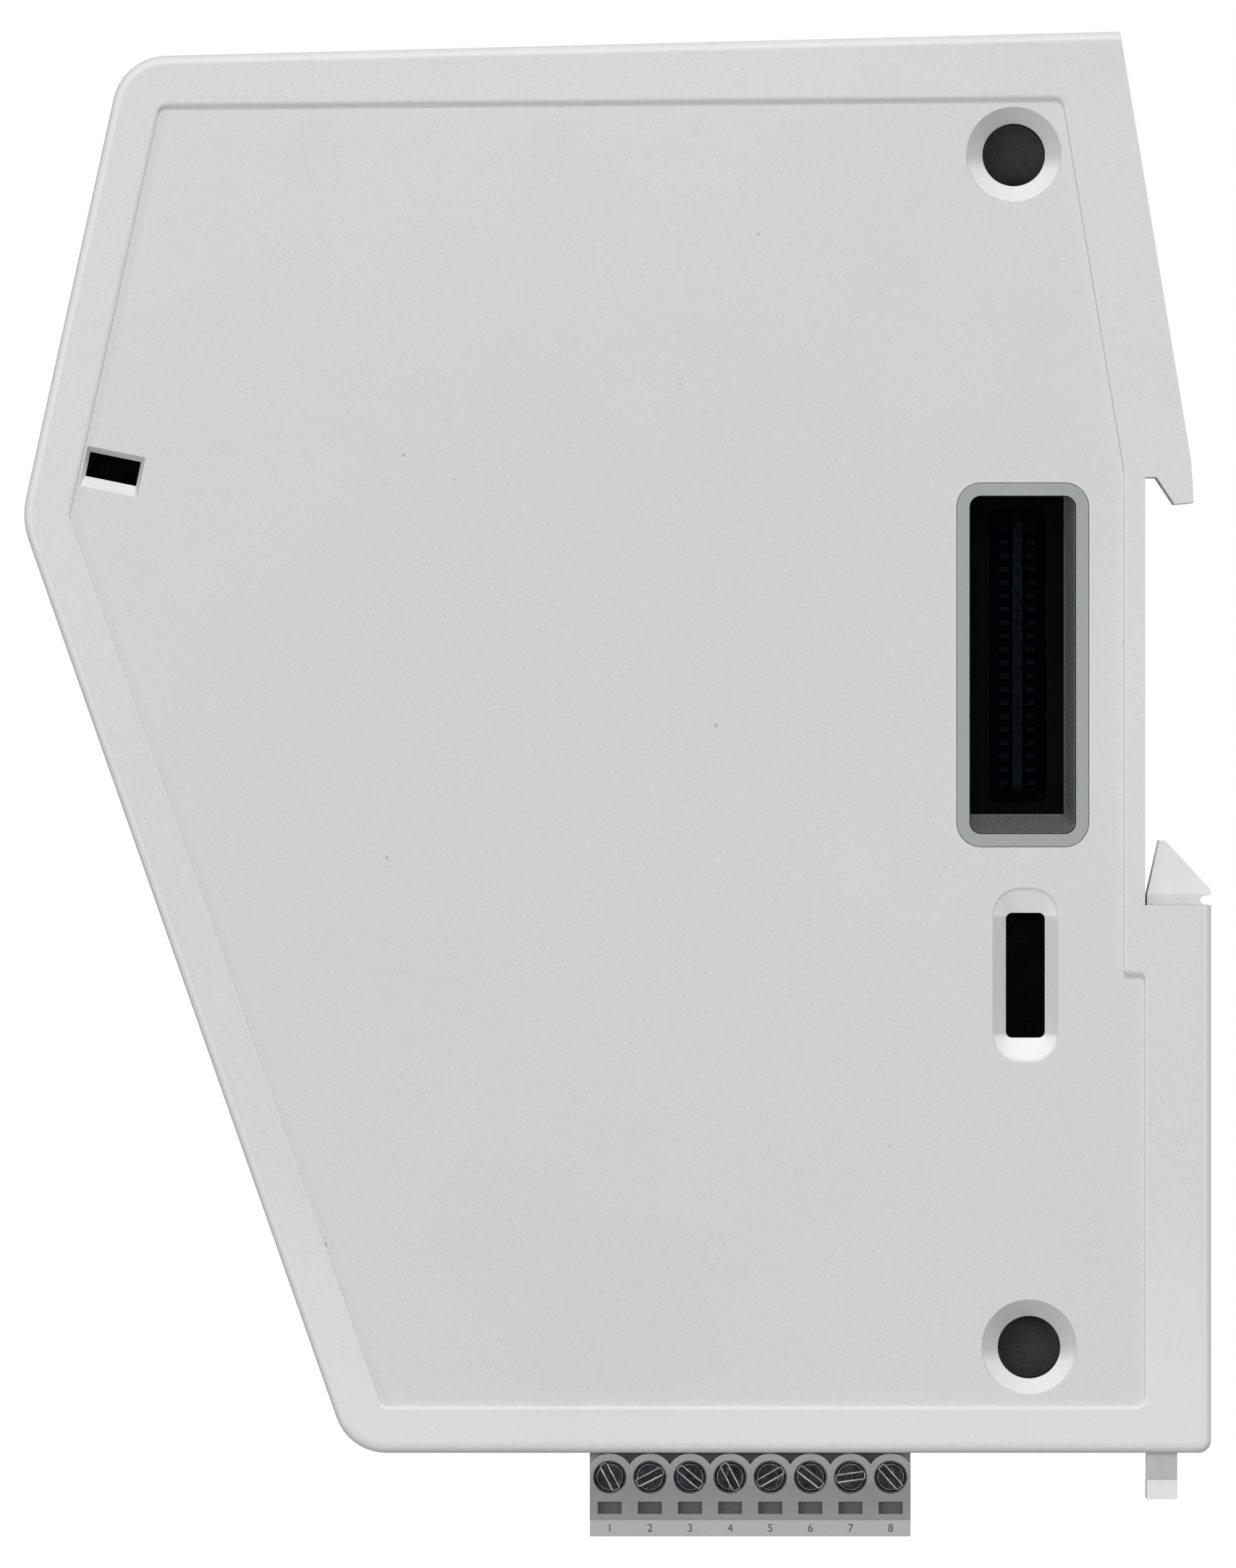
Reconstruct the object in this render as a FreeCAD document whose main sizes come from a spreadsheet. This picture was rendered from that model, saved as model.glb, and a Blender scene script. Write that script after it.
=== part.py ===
import FreeCAD, Part
import math
import os
import re
import Sketcher

# Electronics module enclosure for a 35 mm rail, seen from its near side.
# X runs from the front to the rail, Y through the width, Z up. Lengths in millimetres, angles in degrees.
# The origin lies on the rail wall, at the height of the rail's centre line and half way through the width.

SIZES = {
    # Case outline: two leaning front faces, a pitched top, a leaning rear face above the rail
    "case_width": 22.5,
    "nose_depth": 106.6,
    "nose_rise": 13.5,
    "upper_lean": 12.37,
    "lower_lean": 19.34,
    "top_rise": 59.85,
    "top_pitch": 1.455,
    "foot_drop": 75.05,
    "shoulder_reach": 4.35,
    "shoulder_rise": 19.1,
    "rear_lean": 9.39,
    "crown_radius": 5.2,
    "nose_radius": 7.5,
    "heel_radius": 5.0,
    "edge_round": 1.0,
    "seam": 0.2,
    "wall": 2.0,
    "overrun": 1.0,
    "post_root": 0.5,
    # Rail seat: fixed hook above, block with the latch channel below
    "rail_height": 35.0,
    "rail_lip": 1.0,
    "hook_clearance": 0.1,
    "hook_depth": 2.55,
    "hook_undercut": 1.7,
    "hook_land": 1.8,
    "hook_chin": 0.18,
    "block_reach": 6.25,
    "block_drop": 23.1,
    "block_corner": 1.2,
    "channel_wall": 1.4,
    # Sunk panel on each side face
    "panel_depth": 0.6,
    "rim": 4.4,
    "rear_rim": 6.4,
    "rail_rim": 2.0,
    "panel_top": 53.55,
    "panel_pitch": 0.5,
    "panel_step_drop": 29.65,
    "panel_corner": 0.9,
    "panel_step_corner": 0.5,
    "panel_edge_round": 0.35,
    # Two locating bores for the pins of the neighbouring module
    "bore_diameter": 5.95,
    "bore_mouth": 9.1,
    "bore_cone_depth": 2.2,
    "bore_depth": 13.2,
    "bore_wall": 1.4,
    "upper_bore_inset": 12.45,
    "upper_bore_rise": 48.1,
    "lower_bore_inset": 11.0,
    "lower_bore_drop": 65.05,
    # Bevelled slots for the hooks of the neighbouring module
    "slot_boss": 1.6,
    "slot_boss_margin": 1.2,
    "slot_bevel_depth": 1.5,
    "front_slot_length": 4.9,
    "front_slot_height": 2.34,
    "front_slot_inset": 97.9,
    "front_slot_rise": 18.3,
    "front_slot_lean": 11.5,
    "front_bevel_end": 0.35,
    "front_bevel_upper": 0.5,
    "front_bevel_lower": 1.15,
    "rear_slot_width": 3.7,
    "rear_slot_length": 11.85,
    "rear_slot_inset": 11.35,
    "rear_slot_drop": 29.75,
    "rear_slot_corner": 0.6,
    "rear_bevel_side": 1.28,
    "rear_bevel_end": 2.4,
    "rear_bevel_corner": 2.6,
    # Bus window, its frame and the socket behind it
    "window_width": 10.1,
    "window_height": 32.1,
    "window_inset": 11.6,
    "window_drop": 0.3,
    "window_corner": 1.1,
    "frame_wall": 1.2,
    "frame_corner": 2.3,
    "frame_gap": 0.05,
    "frame_seat_gap": 0.05,
    "socket_recess": 4.4,
    "socket_gap": 0.075,
    "socket_rim_side": 0.95,
    "socket_rim_foot": 1.7,
    "socket_rim_land": 0.12,
    "socket_rim_sink": 0.3,
    "socket_corner": 0.7,
    "socket_shoulder": 1.6,
    "socket_cavity_width": 5.4,
    "socket_cavity_height": 27.9,
    "socket_cavity_depth": 6.5,
    "tongue_thick": 1.0,
    "tongue_height": 25.4,
    "tongue_recess": 0.6,
    "contact_pitch": 1.27,
    "contact_rows": 20,
    "contact_gap": 0.3,
    "contact_depth": 0.9,
    "contact_width": 0.5,
    "contact_recess": 0.5,
    "contact_tail": 0.4,
    "contact_slot_gap": 0.05,
    "tail_length": 0.8,
    # Circuit board and the posts that hold it
    "board_thick": 1.6,
    "board_standoff": 2.05,
    "board_margin": 0.8,
    "post_radius": 3.5,
    "post_inset": 8.0,
    "post_spacing": 15.0,
    "socket_post_radius": 2.5,
    "post_pin_radius": 1.2,
    "post_pin_length": 2.8,
    "post_clearance": 0.2,
    "pin_clearance": 0.05,
    "shoulder_post_radius": 4.0,
    # Plug-in screw terminal under the case
    "pole_count": 8,
    "pole_pitch": 3.81,
    "terminal_inset": 37.45,
    "terminal_standoff": 5.6,
    "screw_drop": 77.4,
    "plug_drop": 83.05,
    "plug_near": 6.6,
    "plug_far": 4.5,
    "plug_gap": 0.1,
    "scallop_radius": 2.25,
    "scallop_depth": 4.7,
    "strip_height": 1.55,
    "strip_thick": 0.35,
    "test_slot_width": 2.27,
    "test_slot_height": 1.15,
    "test_slot_drop": 80.33,
    "test_slot_depth": 1.5,
    "nose_near": 1.5,
    "nose_far": 4.1,
    "nose_length": 8.95,
    "nose_side": 0.25,
    # Clamp screws, rising cages and plug contacts
    "screw_head_radius": 1.4,
    "screw_hole_gap": 0.175,
    "screw_head_sink": 0.3,
    "screw_head_height": 1.1,
    "screw_head_bevel": 0.15,
    "screw_slot_width": 0.7,
    "screw_slot_depth": 0.6,
    "slot_turn_one": 62.0,
    "slot_turn_two": -27.0,
    "slot_turn_three": 40.0,
    "slot_turn_four": 62.0,
    "slot_turn_five": -30.0,
    "slot_turn_six": 38.0,
    "slot_turn_seven": -8.0,
    "slot_turn_eight": 48.0,
    "captive_wall": 0.7,
    "captive_gap": 0.25,
    "shank_radius": 0.9,
    "shank_length": 3.9,
    "thread_gap": 0.05,
    "clamp_travel": 1.6,
    "cage_height": 2.8,
    "cage_gap": 0.1,
    "cage_head": 1.1,
    "cage_window": 3.9,
    "cage_base": 0.8,
    "cage_side": 0.35,
    "wire_entry_depth": 2.7,
    "contact_thick": 0.5,
    "contact_near": 1.1,
    "fork_leaf": 0.3,
    "fork_gap": 0.05,
    "fork_tip_gap": 0.6,
    # Header on the board that the plug pushes into
    "pin_size": 1.0,
    "pin_centre": 1.3,
    "header_wall": 1.0,
    "header_clearance": 0.2,
    "header_sink": 0.15,
    "header_depth": 8.95,
    "header_opening_gap": 0.15,
    "header_near_wall": 1.2,
    "pin_mouth_gap": 1.2,
    "pin_bend_gap": 0.9,
    # Sliding rail latch and its spring
    "latch_side_gap": 0.3,
    "latch_gap": 0.2,
    "latch_travel": 3.0,
    "latch_tip_overlap": 0.55,
    "latch_tip_inner": 1.37,
    "latch_tip_width": 0.55,
    "latch_ramp_drop": 4.7,
    "latch_lip_height": 0.45,
    "latch_neck": 1.05,
    "latch_neck_height": 1.0,
    "latch_notch_mouth": 0.75,
    "latch_notch_lip": 0.14,
    "latch_notch_drop": 0.44,
    "latch_thin": 2.9,
    "latch_foot_length": 4.45,
    "latch_tab_height": 1.85,
    "latch_foot_notch": 2.6,
    "driver_slot_width": 6.0,
    "driver_slot_height": 1.3,
    "driver_slot_rise": 0.35,
    "spring_window_width": 5.0,
    "spring_radius": 1.75,
    "spring_wire": 0.5,
    "spring_turns": 7,
    "spring_length": 16.8,
    "spring_seat_gap": 0.1,
    "rib_drop": 62.0,
    "rib_thick": 2.0,
    "rib_width": 4.0,
    "rib_gap": 0.2,
    # Light guide in the upper front face
    "guide_rise": 36.0,
    "guide_standoff": 2.4,
    "guide_pitch": 5.0,
    "guide_count": 3,
    "guide_pip_radius": 1.2,
    "guide_pip_gap": 0.08,
    "guide_bar_thick": 1.6,
    "guide_bar_width": 3.6,
    "guide_bar_end": 2.0,
    "led_gap": 0.3,
    "led_size": 2.0,
    "led_height": 2.2,
    # Cooling slots in the top and the bottom
    "vent_width": 1.6,
    "vent_half_length": 5.0,
    "vent_pitch": 4.2,
    "vent_count": 11,
    "vent_inset": 76.0,
    "vent_bottom_count": 3,
    "vent_bottom_inset": 67.5,
    # Larger parts on the board
    "chip_size": 10.0,
    "chip_height": 1.4,
    "chip_inset": 58.0,
    "chip_rise": 8.0,
    "converter_length": 20.0,
    "converter_width": 13.0,
    "converter_height": 8.5,
    "converter_inset": 72.0,
    "converter_drop": 22.0,
    "capacitor_radius": 4.0,
    "capacitor_height": 10.5,
    "capacitor_inset": 44.0,
    "capacitor_drop": 26.0,
    "capacitor_pitch": 11.0,
    "capacitor_count": 2,
    "isolator_width": 4.6,
    "isolator_length": 6.5,
    "isolator_height": 3.4,
    "isolator_pitch": 7.0,
    "isolator_count": 4,
    "isolator_drop": 50.0,
}

doc = FreeCAD.newDocument("ModuleEnclosure")
sheet = doc.addObject("Spreadsheet::Sheet", "Sizes")
for row, (alias, value) in enumerate(SIZES.items(), start=1):
    sheet.set(f"A{row}", alias)
    sheet.set(f"B{row}", str(value))
    sheet.setAlias(f"B{row}", alias)
doc.recompute()

PARTS = []
NORMAL = {"XZ": -1, "XY": 1, "YZ": 1}
TURN = {
    "+X": ((0, 1, 0), 90),
    "+Y": ((1, 0, 0), -90),
    "-Y": ((1, 0, 0), 90),
    "+Z": ((0, 0, 1), 0),
}
TOUCH = 1e-4


# Binding to the sheet

def formula(text):
    """The text with each size written as its cell in the sheet."""
    return re.sub(r"[a-z_]+", lambda word: "Sizes." + word[0] if word[0] in SIZES else word[0], str(text))


def bind(item, **formulas):
    for name, text in formulas.items():
        item.setExpression(name, formula(text))
    return item


def put(item, place, turn="+Z"):
    axis, angle = TURN[turn]
    item.Placement = FreeCAD.Placement(FreeCAD.Vector(), FreeCAD.Rotation(FreeCAD.Vector(*axis), angle))
    for axis_name, text in zip("xyz", place):
        item.setExpression("Placement.Base." + axis_name, formula(text))
    return item


# Sketches and features

def new_body(label):
    body = doc.addObject("PartDesign::Body", label)
    body.Label = label
    PARTS.append(body)
    return body


def origin_feature(body, role):
    return next(item for item in body.Origin.OriginFeatures if item.Role == role)


def new_sketch(body, plane, level, name):
    """A sketch on a plane of the body, at the given level along that plane's axis."""
    sketch = body.newObject("Sketcher::SketchObject", name)
    sketch.AttachmentSupport = [(origin_feature(body, plane + "_Plane"), "")]
    sketch.MapMode = "FlatFace"
    sketch.setExpression("AttachmentOffset.Base.z", formula(f"{NORMAL[plane]} * ({level})"))
    return sketch


def fix_point(sketch, element, point, corner):
    """Ties a point to a pair of formulas, starting from where it is drawn."""
    drawn = sketch.getPoint(element, point)
    for axis, start, text in zip("XY", (drawn.x, drawn.y), corner):
        index = sketch.addConstraint(Sketcher.Constraint("Distance" + axis, -1, 1, element, point, start))
        sketch.setExpression(f"Constraints[{index}]", formula(text))


def polygon(sketch, corners):
    """A closed loop of straight lines through the corners, each a pair of formulas."""
    count = len(corners)
    turns = [math.tau * k / count for k in range(count)]
    ring = [FreeCAD.Vector(math.cos(turn), math.sin(turn)) for turn in turns]
    for k in range(count):
        sketch.addGeometry(Part.LineSegment(ring[k], ring[(k + 1) % count]))
    for k, corner in enumerate(corners):
        sketch.addConstraint(Sketcher.Constraint("Coincident", k, 2, (k + 1) % count, 1))
        fix_point(sketch, k, 1, corner)
    return sketch


def rounded_rectangle(sketch, centre, width, height, radius):
    """Four quarter arcs with a line between each two. The arcs' centres and radius carry the size."""
    across, up = centre
    signs = [(1, 1), (-1, 1), (-1, -1), (1, -1)]
    for k, (right, top) in enumerate(signs):
        drawn = Part.Circle(FreeCAD.Vector(3 * right, 3 * top), FreeCAD.Vector(0, 0, 1), 1.0)
        sketch.addGeometry(Part.ArcOfCircle(drawn, math.pi / 2 * k, math.pi / 2 * (k + 1)))
    for k in range(4):
        sketch.addGeometry(Part.LineSegment(sketch.getPoint(k, 2), sketch.getPoint((k + 1) % 4, 1)))
    for k in range(4):
        sketch.addConstraint(Sketcher.Constraint("Tangent", k, 2, 4 + k, 1))
        sketch.addConstraint(Sketcher.Constraint("Tangent", 4 + k, 2, (k + 1) % 4, 1))
    for k in range(3):
        sketch.addConstraint(Sketcher.Constraint("Equal", k, k + 1))
    constraint = sketch.addConstraint(Sketcher.Constraint("Radius", 0, 1.0))
    sketch.setExpression(f"Constraints[{constraint}]", formula(radius))
    for k, (right, top) in enumerate(signs):
        fix_point(sketch, k, 3, (
            f"{across} + {right} * (({width}) / 2 - ({radius}))",
            f"{up} + {top} * (({height}) / 2 - ({radius}))",
        ))
    return sketch


def extrude(body, kind, sketch, length, direction, name):
    """A pad or pocket that runs along the sketch's axis, towards higher (1) or lower (-1) values."""
    plane_axis = sketch.AttachmentSupport[0][0].Role[:2]
    feature = body.newObject("PartDesign::" + kind, name)
    feature.Profile = sketch
    along_normal = direction == NORMAL[plane_axis]
    feature.Reversed = along_normal if kind == "Pocket" else not along_normal
    if length is None:
        feature.Type = "ThroughAll"
    else:
        feature.setExpression("Length", formula(length))
    sketch.Visibility = False
    return feature


def centred_pad(body, sketch, length, name):
    feature = body.newObject("PartDesign::Pad", name)
    feature.Profile = sketch
    feature.SideType = "Symmetric"
    feature.setExpression("Length", formula(length))
    return feature


def loft(body, kind, sketches, name):
    feature = body.newObject("PartDesign::" + kind, name)
    feature.Profile = sketches[0]
    feature.Sections = sketches[1:]
    feature.Ruled = True
    return feature


def block(body, kind, low, high, name):
    """A PartDesign box between two corners, each three formulas."""
    feature = body.newObject(f"PartDesign::{kind}Box", name)
    for side, start, end in zip(("Length", "Width", "Height"), low, high):
        feature.setExpression(side, formula(f"({end}) - ({start})"))
    return put(feature, low)


def rod(body, kind, start, turn, radius, length, name):
    feature = body.newObject(f"PartDesign::{kind}Cylinder", name)
    return put(bind(feature, Radius=radius, Height=length), start, turn)


def cone(body, kind, start, turn, radii, length, name):
    feature = body.newObject(f"PartDesign::{kind}Cone", name)
    bind(feature, Radius1=radii[0], Radius2=radii[1], Height=length)
    return put(feature, start, turn)


def repeat(body, originals, axis, pitch, count, name):
    feature = body.newObject("PartDesign::LinearPattern", name)
    feature.Originals = originals
    feature.Direction = (origin_feature(body, axis + "_Axis"), [""])
    feature.Mode = "Spacing"
    bind(feature, Offset=pitch, Occurrences=count)
    body.Tip = feature
    return feature


def cross_edges(feature, sketch, picks):
    """Names of the feature's straight edges that leave the sketch at the picked corners."""
    normal = sketch.Placement.Rotation.multVec(FreeCAD.Vector(0, 0, 1))
    points = [sketch.Placement.multVec(sketch.getPoint(pick, 1)) for pick in picks]
    names = []
    for number, edge in enumerate(feature.Shape.Edges, start=1):
        start, end = edge.Vertexes[0].Point, edge.Vertexes[-1].Point
        run = end - start
        if run.Length < TOUCH or run.cross(normal).Length > TOUCH * run.Length:
            continue
        if any((start - point).cross(normal).Length < TOUCH for point in points):
            names.append(f"Edge{number}")
    return names


def level_edges(feature, axis, level, keep):
    """Names of the edges that lie in a plane across the axis and whose middle the keep function accepts."""
    names = []
    for number, edge in enumerate(feature.Shape.Edges, start=1):
        box = edge.BoundBox
        low, high = getattr(box, axis + "Min"), getattr(box, axis + "Max")
        if abs(low - level) < 10 * TOUCH and abs(high - level) < 10 * TOUCH:
            middle = edge.valueAt((edge.FirstParameter + edge.LastParameter) / 2)
            if keep(middle):
                names.append(f"Edge{number}")
    return names


def hole_edges(feature, axis, level):
    """Names of the edges that bound the holes of the face lying at a level."""
    rims = []
    for face in feature.Shape.Faces:
        box = face.BoundBox
        low, high = getattr(box, axis + "Min"), getattr(box, axis + "Max")
        if abs(low - level) < 10 * TOUCH and abs(high - level) < 10 * TOUCH:
            rims += [edge for wire in face.Wires if not wire.isSame(face.OuterWire) for edge in wire.Edges]
    return [
        f"Edge{number}" for number, edge in enumerate(feature.Shape.Edges, start=1)
        if any(edge.isSame(rim) for rim in rims)
    ]


def fillet(body, feature, edges, radius, name):
    rounded = body.newObject("PartDesign::Fillet", name)
    rounded.Base = (feature, edges)
    rounded.setExpression("Radius", formula(radius))
    doc.recompute()
    return rounded


def chamfer(body, feature, edges, size, name):
    cut = body.newObject("PartDesign::Chamfer", name)
    cut.Base = (feature, edges)
    cut.setExpression("Size", formula(size))
    doc.recompute()
    return cut


# Lines of the case outline. A steep line is x = lean * z + start, a flat one is z = pitch * x + start.

def front_upper(inset):
    return "tan(upper_lean)", f"({inset}) / cos(upper_lean) - nose_depth - nose_rise * tan(upper_lean)"


def front_lower(inset):
    return "-tan(lower_lean)", f"({inset}) / cos(lower_lean) - nose_depth + nose_rise * tan(lower_lean)"


def rear_slope(inset):
    start = f"shoulder_reach + shoulder_rise * tan(rear_lean) - ({inset}) / cos(rear_lean)"
    return "-tan(rear_lean)", start


def top_line(inset):
    return "tan(top_pitch)", f"top_rise - ({inset}) / cos(top_pitch)"


def level_line(height):
    return "0", height


def upright_line(place):
    return "0", place


def meet(steep, flat):
    """The corner where a steep and a flat line cross."""
    rise = f"((({flat[0]}) * ({steep[1]}) + {flat[1]}) / (1 - ({flat[0]}) * ({steep[0]})))"
    return f"({steep[0]}) * {rise} + {steep[1]}", rise


def meet_steep(first, second):
    """The corner where two steep lines cross."""
    rise = f"((({second[1]}) - ({first[1]})) / (({first[0]}) - ({second[0]})))"
    return f"({first[0]}) * {rise} + {first[1]}", rise


def inner_outline(inset):
    """Corners of the case outline moved in, without the hook and the block."""
    return [
        meet(front_upper(inset), top_line(inset)),
        meet(rear_slope(inset), top_line(inset)),
        meet(rear_slope(inset), level_line(f"shoulder_rise + {inset}")),
        (f"-({inset})", f"shoulder_rise + {inset}"),
        (f"-({inset})", f"{inset} - foot_drop"),
        meet(front_lower(inset), level_line(f"{inset} - foot_drop")),
        meet_steep(front_upper(inset), front_lower(inset)),
    ]


HOOK_TOP = "rail_height / 2"
HOOK_MOUTH = "rail_lip + hook_clearance"
HOOK_TIP = f"{HOOK_MOUTH} + hook_undercut"
CASE_OUTLINE = [
    meet(front_upper("0"), top_line("0")),
    meet(rear_slope("0"), top_line("0")),
    ("shoulder_reach", "shoulder_rise"),
    (f"{HOOK_TIP} + hook_land", f"{HOOK_TOP} - hook_depth + hook_chin"),
    (HOOK_TIP, f"{HOOK_TOP} - hook_depth"),
    (HOOK_MOUTH, HOOK_TOP),
    ("0", HOOK_TOP),
    ("0", "-block_drop"),
    ("block_reach", "-block_drop"),
    ("block_reach", "-foot_drop"),
    meet(front_lower("0"), level_line("-foot_drop")),
    meet_steep(front_upper("0"), front_lower("0")),
]
CROWN, TOP_REAR, BLOCK_FOOT, HEEL, NOSE = 0, 1, 9, 10, 11

PANEL_OUTLINE = [
    meet(front_upper("rim"), ("tan(panel_pitch)", "panel_top")),
    meet(rear_slope("rear_rim"), ("tan(panel_pitch)", "panel_top")),
    meet_steep(rear_slope("rear_rim"), upright_line("-rail_rim")),
    ("-rail_rim", "-panel_step_drop"),
    ("0", "-panel_step_drop"),
    ("0", "rim - foot_drop"),
    meet(front_lower("rim"), level_line("rim - foot_drop")),
    meet_steep(front_upper("rim"), front_lower("rim")),
]

PANEL_STEP = (3, 4)

INNER_FACE = "(case_width / 2 - wall)"
PANEL_FACE = "(case_width / 2 - panel_depth)"
BOARD_FACE = "(case_width / 2 - wall - board_standoff - board_thick)"
BOARD_BACK = "(case_width / 2 - wall - board_standoff)"
CHANNEL_REACH = "(block_reach - channel_wall)"
UPPER_BORE = ("-upper_bore_inset", "upper_bore_rise")
LOWER_BORE = ("-lower_bore_inset", "-lower_bore_drop")
POSTS = [
    inner_outline("post_inset")[0],
    inner_outline("post_inset")[5],
    ("-upper_bore_inset - post_spacing", "upper_bore_rise"),
    ("-lower_bore_inset", "post_spacing - lower_bore_drop"),
]
WINDOW = ("-window_inset", "-window_drop")
FRAME_WIDTH = "(window_width + 2 * frame_wall)"
FRAME_HEIGHT = "(window_height + 2 * frame_wall)"
SOCKET_X = "(-window_inset - socket_rim_side / 2)"
SOCKET_Z = "(socket_rim_foot / 2 - window_drop)"
RIM_LEVEL = f"(socket_rim_sink - {PANEL_FACE})"
SOCKET_REACH_X = "(window_width / 2 - socket_gap)"
SOCKET_REACH_Z = "(window_height / 2 - socket_gap)"
SOCKET_TOP = "(socket_recess - case_width / 2)"
SOCKET_SHOULDER = f"({SOCKET_TOP} + socket_shoulder)"
SOCKET_FLOOR = f"({SOCKET_TOP} + socket_cavity_depth)"
CONTACT_INNER = "(tongue_thick / 2 + contact_gap)"
CONTACT_MIDDLE = f"({CONTACT_INNER} + contact_depth / 2)"
FIRST_CONTACT = f"({SOCKET_Z} - (contact_rows - 1) * contact_pitch / 2)"

PLUG_LOW_X = "(-terminal_inset - pole_count * pole_pitch / 2)"
PLUG_HIGH_X = "(-terminal_inset + pole_count * pole_pitch / 2)"
FIRST_POLE = "(-terminal_inset - (pole_count - 1) * pole_pitch / 2)"
PLUG_TOP = "(-foot_drop - plug_gap)"
PLUG_MIDDLE = f"({BOARD_FACE} - terminal_standoff)"
PLUG_NEAR = f"({PLUG_MIDDLE} - plug_near)"
PLUG_FAR = f"({PLUG_MIDDLE} + plug_far)"
NOSE_NEAR = f"({PLUG_MIDDLE} - nose_near)"
NOSE_FAR = f"({PLUG_MIDDLE} + nose_far)"
PIN_CENTRE = f"({PLUG_MIDDLE} + pin_centre)"
CONTACT_NEAR = f"({PLUG_MIDDLE} - contact_near)"
CONTACT_FAR = f"({CONTACT_NEAR} + contact_thick)"
NOSE_TOP = f"({PLUG_TOP} + nose_length)"
SCREW_HEAD = f"({PLUG_NEAR} + screw_head_sink)"
CAPTIVE_FACE = f"({SCREW_HEAD} + screw_head_height)"
CAGE_HALF = "(shank_radius + thread_gap + cage_side)"
BAR_HALF = "(shank_radius + thread_gap - cage_gap)"
CHAMBER_NEAR = f"({CAPTIVE_FACE} + captive_wall)"
CAGE_NEAR = f"({CHAMBER_NEAR} + cage_gap + clamp_travel)"
CAGE_WINDOW = f"({CAGE_NEAR} + cage_head)"
CAGE_FAR = f"({CAGE_WINDOW} + cage_window + cage_base)"
CHAMBER_LOW = "(-screw_drop - cage_height / 2 - cage_gap)"
CHAMBER_HIGH = "(-screw_drop + cage_height / 2 + cage_gap)"
WEB_LOW = f"({CHAMBER_HIGH} + cage_gap)"
WEB_HIGH = f"({WEB_LOW} + contact_thick)"
LEAF_INNER = "(pin_size / 2 + fork_gap)"
LEAF_OUTER = f"({LEAF_INNER} + fork_leaf)"

HEADER_HALF = "(pole_count * pole_pitch / 2 - nose_side + header_clearance + header_wall)"
HEADER_NEAR = f"({NOSE_NEAR} - header_clearance - header_near_wall)"
HEADER_MOUTH = "(header_sink - foot_drop)"
HEADER_CEILING = f"({HEADER_MOUTH} + header_depth)"
HEADER_TOP = f"({HEADER_CEILING} + header_wall)"
PIN_BEND = f"({HEADER_TOP} + pin_bend_gap)"

LATCH_TIP = "(latch_tip_overlap - rail_height / 2)"
LATCH_LIP = f"({LATCH_TIP} - latch_ramp_drop - latch_lip_height)"
LATCH_NECK = f"({LATCH_LIP} - latch_neck_height)"
LATCH_HALF = f"({INNER_FACE} - latch_side_gap)"
LATCH_FOOT = "(-foot_drop - latch_foot_length)"
SPRING_TOP = "(spring_length - rib_drop)"
GUIDE_LEVEL = f"({BOARD_FACE} - guide_standoff)"
GUIDE_X = "((guide_rise - nose_rise) * tan(upper_lean) - nose_depth)"


# Half shells

def half_shell(label, side):
    """One moulded half of the case, from the parting plane out to its side face. side is -1 near, 1 far."""
    body = new_body(label)
    outline = polygon(new_sketch(body, "XZ", "0", "case_outline"), CASE_OUTLINE)
    solid = extrude(body, "Pad", outline, "case_width / 2", side, "case_pad")
    doc.recompute()
    for pick, radius, name in (
        (CROWN, "crown_radius", "crown"),
        (NOSE, "nose_radius", "nose"),
        (HEEL, "heel_radius", "heel"),
        (BLOCK_FOOT, "block_corner", "block_foot"),
    ):
        solid = fillet(body, solid, cross_edges(solid, outline, [pick]), radius, name)
    rail_side = -2 * SIZES["wall"]
    block_top = -SIZES["block_drop"] - TOUCH

    def off_the_rail(middle):
        return middle.x < rail_side or middle.z < block_top

    outer_level = side * SIZES["case_width"] / 2
    edges = level_edges(solid, "Y", outer_level, off_the_rail)
    solid = fillet(body, solid, edges, "edge_round", "outer_edge")
    chamfer(body, solid, level_edges(solid, "Y", 0, off_the_rail), "seam", "seam_edge")

    cavity = polygon(new_sketch(body, "XZ", "0", "cavity_outline"), inner_outline("wall"))
    hollow = extrude(body, "Pocket", cavity, INNER_FACE, side, "cavity")
    doc.recompute()
    for pick, radius in ((0, "crown_radius"), (5, "heel_radius"), (6, "nose_radius")):
        edges = cross_edges(hollow, cavity, [pick])
        hollow = fillet(body, hollow, edges, f"{radius} - wall", "inner_" + radius)

    channel = polygon(new_sketch(body, "XZ", "0", "channel_outline"), [
        ("0", "overrun - block_drop"),
        ("block_reach + overrun", "overrun - block_drop"),
        ("block_reach + overrun", "-block_drop - latch_travel - rib_gap"),
        (CHANNEL_REACH, "-block_drop - latch_travel - rib_gap"),
        (CHANNEL_REACH, "-foot_drop - overrun"),
        ("0", "-foot_drop - overrun"),
    ])
    extrude(body, "Pocket", channel, INNER_FACE, side, "latch_channel")

    panel = polygon(new_sketch(body, "XZ", f"{side} * case_width / 2", "panel_outline"), PANEL_OUTLINE)
    recess = extrude(body, "Pocket", panel, "panel_depth", -side, "sunk_panel")
    doc.recompute()
    corners = [corner for corner in range(len(PANEL_OUTLINE)) if corner not in PANEL_STEP]
    recess = fillet(body, recess, cross_edges(recess, panel, corners), "panel_corner", "panel_corners")
    recess = fillet(
        body, recess, cross_edges(recess, panel, PANEL_STEP), "panel_step_corner", "panel_step_corners",
    )
    fillet(body, recess, hole_edges(recess, "Y", outer_level), "panel_edge_round", "panel_edge")
    add_common_details(body, side)
    return body


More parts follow.
